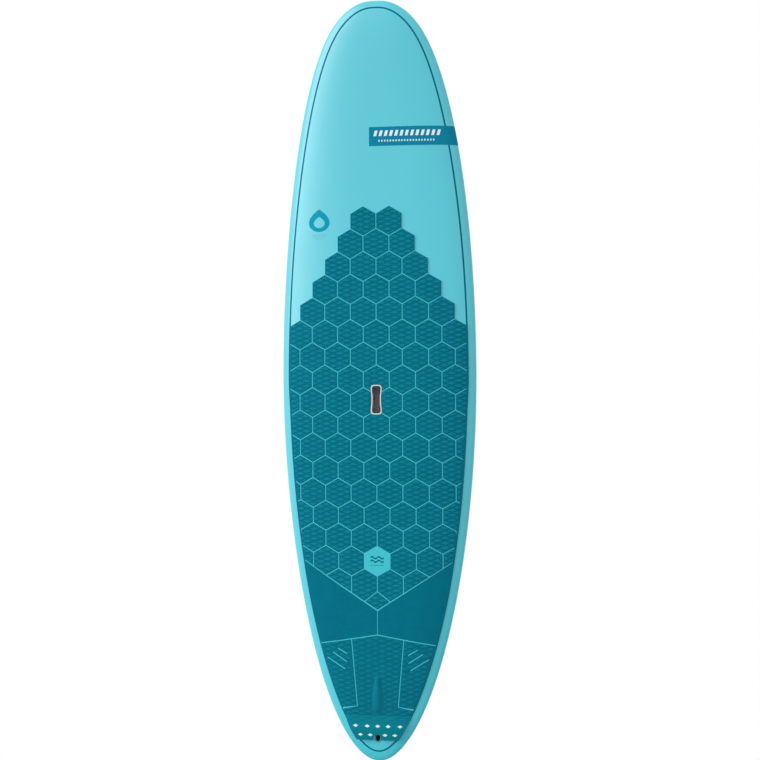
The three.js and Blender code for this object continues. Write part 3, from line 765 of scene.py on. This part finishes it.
def nose_decal():
    """Plain band that wraps the right rail, with generic slanted marks and a dotted line."""
    rings = []
    for y in spaced(DECAL_LOW_Y, DECAL_HIGH_Y, 8):
        first = 2 / math.pi * math.asin(DECAL_LEFT_X / half_width(y))
        turns = spaced(first, DECAL_END_TURN, 60)
        over = [hull_point(turn, y, 0.18) for turn in turns]
        rings.append(over + [hull_point(turn, y, FILM_LOW) for turn in reversed(turns)])
    settle(lofted("nose_decal", rings, [DECAL]), "lacquer")
    starts = [DECAL_LEFT_X + 18 + 21 * k for k in range(13)]
    marks = [[(x, 981), (x + 11, 981), (x + 17, 1003), (x + 6, 1003)] for x in starts]
    film("nose_decal_marks", marks, DECAL_WHITE, 0.3)
    starts = [DECAL_LEFT_X + 38 + 11.5 * k for k in range(20)]
    film("nose_decal_dots", [rectangle(x, x + 5, 959, 966) for x in starts], DECAL_WHITE, 0.3)


EMBLEM_X = -233


def drop_outline(low, high, width, count=48):
    """Water drop: round below, pointed above."""
    points = []
    for k in range(count):
        angle = 2 * math.pi * k / count - math.pi / 2
        rise = (1 + math.sin(angle)) / 2
        x = width / 2 * math.cos(angle) * (1 - rise ** 2.2) ** 0.5 * 1.25
        points.append((EMBLEM_X + x, low + (high - low) * rise))
    return points


def emblem():
    """Generic water-drop mark on the left of the deck, with three faint plain lines below it."""
    outer = drop_outline(605, 696, 76)
    inner = drop_outline(621, 666, 40)
    fields = [[a, b, d, c] for (a, b), (c, d) in zip(edges(outer), edges(inner))]
    film("deck_emblem", fields, EMBLEM, step=40.0)
    places = ((32, 592), (26, 584), (16, 576))  # half length, Y
    lines = [rectangle(EMBLEM_X - half, EMBLEM_X + half, y, y + 1.6) for half, y in places]
    film("deck_emblem_lines", lines, FAINT)


# ---- lines across the deck pads ----
SLANT = 1 / math.sqrt(3)  # slope of a hexagon's slanted edges


def row_y(row):
    return HEX_FRONT_ROW_Y - row * HEX_PITCH


def vee_y(x, shift=0.0):
    return VEE_APEX_Y + VEE_SLOPE * abs(x) + shift


def arch_y(x, shift=0.0):
    return ARCH_APEX_Y - ARCH_SLOPE * abs(x) + shift


def front_edge(row):
    """Y on the centre line of the slanted edges that a row adds to the stepped front."""
    return row_y(row - 1) - HEX_SIDE / 2 + SLANT * (row + 1) * HEX_FLATS / 2


def edge_x(line):
    """Where a line across the pads meets their side edge."""
    x = BOARD_WIDTH / 4
    for _ in range(30):
        x = pad_half(line(x))
    return x


VEE_EDGE_X = edge_x(vee_y)
ARCH_EDGE_X = edge_x(arch_y)


def above_vee(polygon, shift=0.0):
    for side in (1, -1):
        polygon = clip_line(polygon, side * VEE_SLOPE, -1, -(VEE_APEX_Y + shift))
    return polygon


def below_front(polygon, row):
    """Clips a polygon along the slanted front edges of a row, half a line's width inside."""
    for side in (1, -1):
        polygon = clip_line(polygon, side * SLANT, 1, front_edge(row) - LINE / math.cos(math.pi / 6))
    return polygon


def side_chain(low, high, margin, side, steps=14):
    """Points on a side edge of the pads, from one Y to another."""
    return [(side * (pad_half(y) - margin), y) for y in spaced(low, high, steps)]


def side_strips(low, high, side, steps):
    """Fields of the smooth rim along a side edge."""
    outer = side_chain(low, high, 0, side, steps)
    inner = side_chain(low, high, BORDER, side, steps)
    return [[outer[k], outer[k + 1], inner[k + 1], inner[k]] for k in range(steps)]


def cross_strips(low, high, margin, steps):
    """Strips from one side edge of the pads to the other."""
    left, right = side_chain(low, high, margin, -1, steps), side_chain(low, high, margin, 1, steps)
    return [[left[k], right[k], right[k + 1], left[k + 1]] for k in range(steps)]


# ---- diamond tread ----
TREAD_WIDTH = 55.7
TREAD_LENGTH = 20.2
TREAD_PHASE_X = -7.2
TREAD_PHASE_Y = 3.9
TREAD_GROOVE = 1.6
TREAD_RISE = 1.3
BLOCK_RINGS = ((1.0, -0.4), (1.0, 0.05), (0.68, 0.8 * TREAD_RISE), (0.35, TREAD_RISE))  # share, height
SMALLEST_BLOCK = 40  # smaller bits of tread are left out
EDGE_ROOM = 0.8  # smooth edge round the tread

HANDLE_WINDOW = rectangle(-25, 25, HANDLE_Y - 62.5, HANDLE_Y + 62.5)
BAR_HALF_SHAPE = ((14, 0.02), (23, 0.12), (23, 0.45), (16, 0.86), (9, 0.98))  # X, share of the length
BAR_HALF = [(x, BAR_REAR_Y + BAR_LENGTH * share) for x, share in BAR_HALF_SHAPE]
BAR_WINDOW = BAR_HALF + [(-x, y) for x, y in BAR_HALF[::-1]]

STRIPE_WIDTH = 3.6
STRIPES = [((123, -1091), (160.5, -1069)), ((124.5, -1122.5), (181.5, -1086)),
           ((132, -1151.5), (204.5, -1107))]


def beside_stripe(polygon, stripe):
    """The parts of a polygon on either side of a stripe, if the stripe passes over it."""
    a, b = stripe
    if not polygon:
        return []
    length = math.dist(a, b)
    nx, ny, offset = left_of(a, b, length)
    along = [(y - a[1]) * nx - (x - a[0]) * ny for x, y in polygon]
    if max(along) < 0 or min(along) > length:
        return [polygon]
    room = STRIPE_WIDTH / 2 + EDGE_ROOM
    return [clip_line(polygon, -nx, -ny, -offset - room), clip_line(polygon, nx, ny, offset - room)]


def tread_blocks(region, stripes=()):
    """Diamond tread inside a convex region, split where a stripe passes."""
    inner = shrink(region, EDGE_ROOM)
    if not inner:
        return []
    half_x, half_y = TREAD_WIDTH / 2, TREAD_LENGTH / 2
    columns = [(x - TREAD_PHASE_X) / half_x for x, _ in region]
    rows = [(y - TREAD_PHASE_Y) / half_y for _, y in region]
    blocks = []
    for i in range(math.floor(min(columns)) - 1, math.ceil(max(columns)) + 2):
        for j in range(math.floor(min(rows)) - 1, math.ceil(max(rows)) + 2):
            if (i + j) % 2:
                continue
            cx, cy = TREAD_PHASE_X + i * half_x, TREAD_PHASE_Y + j * half_y
            diamond = [(cx + half_x, cy), (cx, cy + half_y), (cx - half_x, cy), (cx, cy - half_y)]
            parts = [clip_convex(shrink(diamond, TREAD_GROOVE / 2), inner)]
            for stripe in stripes:
                parts = [piece for part in parts for piece in beside_stripe(part, stripe)]
            for window in (HANDLE_WINDOW, BAR_WINDOW):
                parts = [outside_window(part, window) for part in parts]
            blocks += [part for part in parts if area(part) > SMALLEST_BLOCK]
    return blocks


def split_long_edges(outline, longest):
    result = []
    for p, q in edges(outline):
        parts = max(1, round(math.dist(p, q) / longest))
        result += [between(p, q, k / parts) for k in range(parts)]
    return result


def add_tread(points, faces, marks, blocks, seat, longest=16.0):
    """Adds raised blocks to a mesh: long sloping flanks below a smaller crown of material 1, whose paler
    colour is a painted highlight.
    """
    for block in blocks:
        outline = split_long_edges(block, longest)
        count, first = len(outline), len(points)
        cx, cy = sum(x for x, _ in outline) / count, sum(y for _, y in outline) / count
        for share, height in BLOCK_RINGS:
            for x, y in outline:
                px, py = cx + share * (x - cx), cy + share * (y - cy)
                points.append(on_deck(px, py, seat(px, py) + height))
        points.append(on_deck(cx, cy, seat(cx, cy) + TREAD_RISE))
        top = len(points) - 1
        faces += tube_faces(first, count, 3)
        faces += [(a, b, top) for a, b in edges(list(range(top - count, top)))]
        faces.append(tuple(range(first, first + count))[::-1])
        # Crown faces take material 1, the painted highlight.
        marks += [0] * 2 * count + [1] * 2 * count + [0]


def tread_object(name, blocks, floor, crown, seat, longest=16.0):
    """The raised blocks alone."""
    points, faces, marks = [], [], []
    add_tread(points, faces, marks, blocks, seat, longest)
    return mesh_object(name, points, faces, [floor, crown], marks)


def flat_seat(x, y):
    return PAD_TOP


# ---- front pad ----
VEE_SNAP = 12  # corners of a hexagon closer to the vee than this are drawn onto it
SMALLEST_CELL = 420  # smaller slivers of a hexagon are left out
SMALLEST_TILE = 30


def hex_tiles():
    """Tiles of the front pad as cut, without the badge."""
    tiles = []
    for row in range(HEX_ROWS):
        count = min(row + 2, 8 if row % 2 == 0 else 7)
        for k in range(count):
            cx = (k - (count - 1) / 2) * HEX_FLATS
            if row == BADGE_ROW and cx == 0:
                continue
            corners = hexagon(cx, row_y(row))
            cell = above_vee([(x, vee_y(x) if 0 < y - vee_y(x) < VEE_SNAP else y) for x, y in corners])
            if area(cell) >= SMALLEST_CELL:
                tiles.append(clip_sides(shrink(cell, LINE), BORDER))
    return [tile for tile in tiles if area(tile) > SMALLEST_TILE]


def hex_pad():
    tiles = hex_tiles()
    # Tile tops between the blocks take the darkened EVA (painted shade); block crowns take the painted
    # highlight.
    pad = deck_layer("hex_pad_tiles", tiles, TILE_LOW, PAD_TOP, [TREAD_BASE_AND_SHADE, TREAD_PAINTED_HIGHLIGHT])
    cut(pad, prism(rim_outline(RIM_WIDTH + 0.4)), 50)
    blocks = [block for tile in tiles for block in tread_blocks(tile)]
    join(pad, tread_object("hex_tread", blocks, TREAD_BASE_AND_SHADE, TREAD_PAINTED_HIGHLIGHT, flat_seat))
    sharpen(pad, 50)
    glue_foam(pad, "pad_eva", "hex_deck_pad")


def hex_pad_border():
    """Smooth rim of the front pad along both side edges, down to the vee."""
    strips = []
    shoulder = front_edge(STEPPED_ROWS - 1)
    for side in (1, -1):
        for strip in side_strips(SHOULDER_REAR_Y, SHOULDER_FRONT_Y, side, 60):
            strips.append(clip_line(above_vee(strip, LINE * 0.3), side * SLANT, 1, shoulder))
    glue_foam(deck_layer("hex_pad_border", strips, PAD_LOW, PAD_TOP, [EDGE_EVA]), "pad_eva")


def hex_pad_base():
    """Pale lower layer that shows as lines between the tiles: bands under the stepped front, then strips."""
    margin = BORDER + 1.5
    regions = []
    for side in (1, -1):
        tip = hexagon(side * HEX_FLATS / 2, HEX_FRONT_ROW_Y, LINE)
        regions.append(clip_line(tip, 0, -1, -HEX_FRONT_ROW_Y - HEX_SIDE / 2 + LINE))
    for row in range(STEPPED_ROWS):
        half = (row + 2) * HEX_FLATS / 2 - LINE
        low, shoulder, peak = (row_y(row) + share * HEX_SIDE for share in (-0.5, 0.5, 1))
        if row == 0:
            regions.append(rectangle(-half, half, low, shoulder - LINE))
        else:
            regions.append(below_front(rectangle(-half, half, low, shoulder), row))
            regions.append(below_front(rectangle(-half, half, shoulder, peak), row))
    front = row_y(STEPPED_ROWS - 1) - HEX_SIDE / 2
    regions += [above_vee(strip) for strip in cross_strips(VEE_APEX_Y, front, margin, 48)]
    regions = [clip_sides(region, margin) for region in regions]
    base = deck_layer("hex_pad_base", regions, BASE_LOW, BASE_TOP, [PALE_EVA])
    cut(base, prism(rim_outline(RIM_WIDTH + 0.4)))
    glue_foam(base, "pale_eva")


def badge_tile():
    """Plain pale hexagon with two generic waves and a line."""
    cy = row_y(BADGE_ROW)
    tile = deck_layer("badge_tile_face", [hexagon(0, cy, -1.2)], TILE_LOW, PAD_TOP, [PALE_EVA])
    glue_foam(tile, "pale_eva", "badge_tile")
    half = 27
    bands = []
    for level in (0, 14):
        wave = [(x, cy + level + 4 * math.sin(2 * math.pi * x / half)) for x in spaced(-half, half, 24)]
        for (x0, y0), (x1, y1) in zip(wave, wave[1:]):
            bands.append([(x0, y0 - 3.2), (x1, y1 - 3.2), (x1, y1 + 3.2), (x0, y0 + 3.2)])
    bands.append(rectangle(-half, half, cy - 17.5, cy - 16))
    mark = deck_layer("badge_mark", bands, PAD_TOP - 0.2, PAD_TOP + 0.12, [BADGE_INK], 60.0, 60.0)
    settle(mark, "pad_eva")


# ---- mid and tail pads ----
RIB_PITCH = 5.0
RIB_DEPTH = 0.6
SIDE_END_Y = TAIL_END_Y + 3  # rear edge of the side pads where they meet the rim


def rib_height(x, y):
    """Fine cross ribs that fade out at the pad's side edges."""
    phase = (y / RIB_PITCH) % 1
    edge = smoothstep(pad_half(y) - abs(x), BORDER * 0.8, BORDER * 1.2)
    rib = 1 - abs(2 * phase - 1)
    return PAD_TOP - RIB_DEPTH * edge * (1 - smoothstep(rib, 0.0, 0.55))


def mid_pad(side, word):
    outline = [(side * CENTRE_LINE, vee_y(0, -LINE - 1)), (side * CENTRE_LINE, arch_y(0, LINE))]
    outline += side_chain(arch_y(ARCH_EDGE_X, LINE), vee_y(VEE_EDGE_X, -LINE), 0, side)
    pad = deck_layer(f"mid_pad_{word}_ribbed", [outline], PAD_LOW, rib_height, [SMOOTH_EVA],
                     24.0, RIB_PITCH / 4, 60)
    glue_foam(pad, "pad_eva", f"mid_pad_{word}")


def tail_side_pad(side, word):
    front_x, edge = TAIL_FRONT_X + LINE, ARCH_EDGE_X - BORDER
    outline = [(side * front_x, arch_y(front_x, -LINE)), (side * (TAIL_REAR_X + LINE), TAIL_REAR_Y + LINE),
               (side * (pad_half(SIDE_END_Y) - BORDER), SIDE_END_Y + LINE)]
    outline += side_chain(SIDE_END_Y + LINE, arch_y(edge, -LINE), BORDER, side)[1:]
    outline = outline[::side]
    stripes = [((side * ax, ay), (side * bx, by)) for (ax, ay), (bx, by) in STRIPES]
    points, faces = fitted_slab([outline], TILE_LOW, PAD_TOP)
    marks = [0] * len(faces)
    add_tread(points, faces, marks, tread_blocks(outline, stripes), flat_seat)
    # Slab and flanks in the darkened EVA (painted shade); crowns in the paler painted highlight.
    pad = mesh_object(f"tail_pad_{word}_tread", points, faces, [TREAD_BASE_AND_SHADE, TAIL_PAINTED_HIGHLIGHT], marks, 50)
    glue_foam(pad, "pad_eva", f"tail_pad_{word}")
    bars = []
    for (ax, ay), (bx, by) in stripes:
        nx, ny = sideways((ax, ay), (bx, by), STRIPE_WIDTH)
        bars.append([(ax + nx, ay + ny), (bx + nx, by + ny), (bx - nx, by - ny), (ax - nx, ay - ny)])
    lines = deck_layer(f"tail_pad_{word}_stripes", bars, PAD_TOP - 0.3, PAD_TOP + 0.35, [PALE_EVA])
    glue_foam(lines, "pale_eva")


def bar_bump(x, y):
    """Bottle-shaped rise under the rear foot: broad at the rear, necked towards the front."""
    v = (y - BAR_REAR_Y) / BAR_LENGTH
    if not 0 < v < 1:
        return 0.0
    half = 23 - 9 * smoothstep(v, 0.45, 0.9)
    ends = (1 - abs(2 * v - 1) ** 6) ** 0.7
    across = min(abs(x) / half, 1)
    return BAR_RISE * ends * math.cos(math.pi / 2 * across) ** 1.2


def bar_seat(x, y):
    return PAD_TOP + bar_bump(x, y)


def tail_centre_pad():
    """Centre tail pad with its raised bar; the bar's smooth skin is material 2."""
    front_x, rear_x = TAIL_FRONT_X - LINE, TAIL_REAR_X - LINE
    rear_half, side_half = pad_half(KICK_FRONT_Y) - BORDER, pad_half(TAIL_END_Y) - BORDER
    upper = [(-rear_x, TAIL_REAR_Y), (rear_x, TAIL_REAR_Y), (front_x, arch_y(front_x, -LINE)),
             (0, arch_y(0, -LINE)), (-front_x, arch_y(front_x, -LINE))]
    lower = [(-rear_half, KICK_FRONT_Y), (rear_half, KICK_FRONT_Y), (side_half, TAIL_END_Y - LINE),
             (rear_x, TAIL_REAR_Y), (-rear_x, TAIL_REAR_Y), (-side_half, TAIL_END_Y - LINE)]
    points, faces = fitted_slab([upper, lower], TILE_LOW, bar_seat, 5.0, 6.0)
    marks = [2 if max(bar_bump(*points[k][:2]) for k in face) > 0.4 else 0 for face in faces]
    blocks = []
    for block in tread_blocks(rectangle(-150, 150, KICK_FRONT_Y, -1000)):
        blocks += [clip_convex(block, window) for window in (upper, shrink(lower, EDGE_ROOM))]
    blocks = [block for block in blocks if area(block) > SMALLEST_BLOCK]
    add_tread(points, faces, marks, blocks, bar_seat, 7.0)
    # Slab and flanks in the darkened EVA (painted shade); crowns in the paler painted highlight.
    pad = mesh_object("tail_pad_center_tread", points, faces, [TREAD_BASE_AND_SHADE, TAIL_PAINTED_HIGHLIGHT, EDGE_EVA], marks, 50)
    glue_foam(pad, "pad_eva", "tail_pad_center", "arch_bar")


def tail_base():
    """Pale lower layer under the mid and tail pads; it shows as the vee, arch and tail lines."""
    regions = []
    for strip in cross_strips(KICK_FRONT_Y + 2, vee_y(VEE_EDGE_X - BORDER), BORDER, 24):
        for side in (1, -1):
            half = clip_line(strip, -side, 0, 0)
            regions.append(clip_line(half, -side * VEE_SLOPE, 1, VEE_APEX_Y))
    glue_foam(deck_layer("tail_pad_base", regions, BASE_LOW, BASE_TOP, [PALE_EVA]), "pale_eva")


def tail_borders():
    """Smooth rims of the tail pads along the side edges."""
    strips = []
    for side in (1, -1):
        strips += side_strips(KICK_FRONT_Y, TAIL_END_Y - 0.5, side, 30)
        strips += side_strips(TAIL_END_Y + 1, arch_y(ARCH_EDGE_X) - 1, side, 30)
    glue_foam(deck_layer("tail_pad_borders", strips, PAD_LOW, PAD_TOP, [EDGE_EVA]), "pad_eva")


# ---- kick pad ----
KICK_LAYER = 2.5  # thickness of the coloured top layer
KICK_STEPS = (10.0, 6.5)
KICK_TREAD_REAR_Y = -1362
DIAMONDS = [(x, -1375.5) for x in (0, 42.3, 90, -42.3, -90)] + [(x, -1410) for x in (30, 69.5, -30, -69.5)]
DIAMOND_X, DIAMOND_Y = 11, 6.3
NOTCH_X, NOTCH_Y = 15, 18.6  # half axes of the notch round the leash plug


def kick_top(x, y, drop=0.0):
    return PAD_TOP + KICK_RISE * smoothstep(-y, -KICK_FRONT_Y, -KICK_REAR_Y - 30) - drop


def plug_notch(grow=0.0):
    """Round-topped notch in the rear edge of the pad, round the leash plug."""
    half_x, half_y = NOTCH_X + grow, NOTCH_Y + grow
    angles = [math.pi * k / 24 for k in range(25)]
    arc = [(half_x * math.cos(angle), PLUG_Y + half_y * math.sin(angle)) for angle in angles]
    return prism(arc + [(-half_x, KICK_REAR_Y - 20), (half_x, KICK_REAR_Y - 20)])


def kick_pad():
    """Coloured top layer with diamond holes over a white core that shows through them."""
    def strips(margin):
        return cross_strips(KICK_REAR_Y + margin, KICK_FRONT_Y, margin, 12)
    top = deck_layer("kick_pad_top", strips(0), lambda x, y: kick_top(x, y, KICK_LAYER), kick_top,
                     [KICK_EVA, TAIL_PAINTED_HIGHLIGHT], *KICK_STEPS)
    cut(top, plug_notch())
    for x, y in DIAMONDS:
        cut(top, prism([(x + DIAMOND_X, y), (x, y + DIAMOND_Y), (x - DIAMOND_X, y), (x, y - DIAMOND_Y)]))
    blocks = tread_blocks(cross_strips(KICK_TREAD_REAR_Y, KICK_FRONT_Y, BORDER, 1)[0])
    # Kick tread crowns take the paler painted highlight.
    join(top, tread_object("kick_tread", blocks, KICK_EVA, TAIL_PAINTED_HIGHLIGHT, kick_top, 7.0))
    sharpen(top, 40)
    glue_foam(top, "pad_eva", "kick_pad")
    core = deck_layer("kick_pad_core", strips(0.6), PAD_LOW, lambda x, y: kick_top(x, y, KICK_LAYER - 1.3),
                      [WHITE_EVA], *KICK_STEPS)
    cut(core, plug_notch(0.6))
    glue_foam(core, "white_eva", "kick_pad_underlay")


# ---- carry handle ----
def handle_rim():
    """Moulded rim: a rounded lip round the waisted opening."""
    low, top = HANDLE_LOW[2], HANDLE_HIGH[2]
    profile = [(5.4, low), (RIM_WIDTH, top - 2.0), (5.1, top - 0.7), (4.0, top + 0.1), (1.7, top + 0.1),
               (0.6, top - 0.6), (0, top - 1.8), (0.4, low)]
    rings = [at_height(rim_outline(grow), z) for grow, z in profile]
    rim = lofted("handle_rim_moulded", rings + rings[:1], [RIM_PLASTIC], False, 60)
    settle(rim, "grey_plastic", "handle_rim")


def handle_pocket_liner():
    """Soft floor mat in the handle pocket with a shallow raised panel."""
    floor = node_box("handle_cup")[0][2] + 2.5
    profile = [(0.6, 0.1), (0.6, 1.4), (1.2, 1.9), (5.5, 1.9), (6.2, 2.8), (7.5, 3.0)]  # inset, height
    rings = [at_height(shifted(waisted_outline(70, 33, 27, -inset), HANDLE_Y + 17), floor + z)
             for inset, z in profile]
    settle(lofted("handle_floor_mat", rings, [MAT_RUBBER]), "black_rubber")


# ---- leash plug ----
def leash_plug():
    """Moulded cup with a rounded lip; everything below the lip is dark."""
    body = shifted(rounded_outline(21, 29, 10.4, 10), PLUG_Y)
    rings = [at_height(body, PLUG_TOP - 20), at_height(body, PLUG_TOP - 3)]
    profile = [(26, 34, 3), (26.2, 34.2, 0.8), (25, 33, 0), (19, 26.4, 0), (17, 24.4, 0.7), (16.2, 23.6, 2.2),
               (16, 23.4, 18)]  # width, length, depth
    for width, length, depth in profile:
        outline = rounded_outline(width, length, width / 2 - 0.01, 10)
        rings.append(at_height(shifted(outline, PLUG_Y), PLUG_TOP - depth))
    plug = lofted("leash_plug_moulded", rings, [PLUG_PLASTIC, DARK_PLASTIC])
    for polygon in plug.data.polygons:
        if max(plug.data.vertices[k].co.z for k in polygon.vertices) < (PLUG_TOP - 0.6) * MM:
            polygon.material_index = 1
    settle(plug, "grey_plastic", "leash_plug_cup")


# ---- fins ----
def fin_section(place, half, lead, chord, z, around=22):
    """One level of a foil: rounded at the front, thin at the rear."""
    ring = []
    for side in (1, -1):
        for j in range(around):
            c = ((j if side > 0 else around - j) / around) ** 1.6
            bulge = 2.6 * math.sqrt(c) * (1 - c) + 0.06 * c
            ring.append(place @ Vector((side * half * bulge, lead - chord * c, z)))
    return ring


def fin_blade(name, node, body, place, size, offset, tab):
    """Swept foil with a rounded nose and a thin tail, standing on its base tab."""
    depth, base, thick = size
    levels = 40
    rings = []
    for level in range(levels + 1):
        share = 1 - (1 - level / levels) ** 1.5
        k = share * 0.995
        lead = base * (0.414 - 0.055 * k - 1.29 * k ** 2.2)
        trail = base * (-0.586 - 0.38 * k ** 2.5 + 0.15 * math.sin(math.pi * k))
        chord = lead - trail
        half = thick / 2 * (chord / base) ** 0.8
        rings.append(fin_section(place, half, offset + lead, chord, -depth * share - 0.8))
    blade = lofted(name, rings, [FIN_NYLON])
    width, length, tab_y, tab_top = tab
    join(blade, prism(shifted(rounded_outline(width, length, 2), tab_y), -1.6, tab_top, place))
    sharpen(blade, 40)
    settle(blade, "fin_plastic", node, body=body)
    return blade


def fins():
    place = BOX_PLACES["center"]
    blade = fin_blade("center_fin_foil", "center_fin", "center_fin_assembly", place, (205, 145, 9), 0,
                      (9.2, 145, -12.5, 18))
    join(blade, prism(shifted(rounded_outline(9.2, 30, 2), 70), 3.6, 7.6, place))
    for word in ("left", "right"):
        fin_blade(f"side_fin_{word}_foil", f"side_fin_{word}", "board", BOX_PLACES[word],
                  (112, 108, 6.5), -6 + 0.086 * 108, (6.4, 111.6, -6, 12.5))


# ---- carried-over CAD nodes ----
CAD_NODES = [
    (CORE_FOAM, "foam_core_left", "foam_core_right"),
    (WOOD, "stringer"),
    (DENSE_FOAM, "handle_foam_block", "fin_box_foam_block"),
    (CUP_PLASTIC, "handle_cup", "vent_valve_body", "vent_valve_screw"),
    (RUBBER, "handle_grip_strip", "vent_valve_o_ring"),
    (BLACK_STEEL, "leash_plug_pin"),
    (BOX_PLASTIC, "center_fin_box", "side_fin_box_left", "side_fin_box_right"),
    (BRASS, "center_fin_pin", "center_fin_nut_plate"),
    (STEEL, "center_fin_screw", "side_fin_screw_left", "side_fin_screw_right"),
]


def finish_cad_nodes():
    for material, *names in CAD_NODES:
        for name in names:
            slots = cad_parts[name].data.materials
            slots.clear()
            slots.append(material)


# ---- camera, light and surround ----
def camera():
    """High above the board, a little to its right side, nose up."""
    tilt = math.radians(9.0)
    lean = math.radians(-0.19)
    distance = 5.6
    data = bpy.data.cameras.new("camera")
    data.sensor_width = 36
    data.lens = 65.6
    data.clip_end = 60
    eye = new_object("camera", data)
    target = Vector((0.0039, 0.0079, 0.0444))
    eye.location = target + distance * Vector((math.sin(tilt), 0, math.cos(tilt)))
    turn = Matrix.Rotation(tilt, 3, "Y") @ Matrix.Rotation(lean, 3, "Z")
    eye.rotation_euler = turn.to_euler()
    bpy.context.scene.camera = eye


KEY_FROM = Vector((-0.72, 0.42, 0.62))
KEY_POWER = 1.65
SKY_POWER = 2.5
SKY_BANDS = [(-0.9, 0.44), (-0.55, 0.28), (-0.2, 0.3), (0.5, 0.3), (0.9, 0.28)]  # direction X, brightness
TAIL_SHADE = 0.28  # brightness left in the sky towards the tail
GROUND = 1 / SKY_POWER  # plain white once the sky's power is applied


def key_light():
    """Broad soft light from the left, a little towards the nose."""
    data = bpy.data.lights.new("key", "SUN")
    data.energy = KEY_POWER
    data.angle = math.radians(50)
    light = new_object("key", data)
    light.rotation_euler = (-KEY_FROM).to_track_quat("-Z", "Y").to_euler()
    light.location = (-3, 1.5, 3)


def sky():
    """Studio surround: white below the board, brighter low on the left, darker towards the tail."""
    world = bpy.data.worlds.new("studio")
    world.use_nodes = True
    tree = world.node_tree
    place = add_node(tree, "ShaderNodeTexCoord").outputs["Generated"]
    axes = add_node(tree, "ShaderNodeSeparateXYZ", Vector=place).outputs
    stops = [((x + 1) / 2, (v, v, v, 1)) for x, v in SKY_BANDS]
    bands = ramp(tree, mapped(tree, axes["X"], From_Min=-1), stops)
    rearward = mapped(tree, axes["Y"], From_Min=-0.6, From_Max=-0.12, To_Min=TAIL_SHADE)
    shade = add_node(tree, "ShaderNodeVectorMath", operation="SCALE", Vector=bands, Scale=rearward)
    under = mapped(tree, axes["Z"], From_Min=-0.6, From_Max=-0.85)
    blend = add_node(tree, "ShaderNodeMix", data_type="RGBA", Factor=under, A=shade.outputs["Vector"],
                     B=(GROUND, GROUND, GROUND, 1))
    feed(tree, tree.nodes["Background"], Color=blend.outputs["Result"], Strength=SKY_POWER)
    bpy.context.scene.world = world
    bpy.context.scene.view_settings.view_transform = "Standard"


# ---- build ----
camera()
key_light()
sky()
finish_cad_nodes()
hull_skin()
pinstripe()
nose_decal()
emblem()
hex_pad_base()
hex_pad()
hex_pad_border()
badge_tile()
tail_base()
for pad_side, pad_word in ((-1, "left"), (1, "right")):
    mid_pad(pad_side, pad_word)
    tail_side_pad(pad_side, pad_word)
tail_centre_pad()
tail_borders()
kick_pad()
handle_rim()
handle_pocket_liner()
leash_plug()
fins()
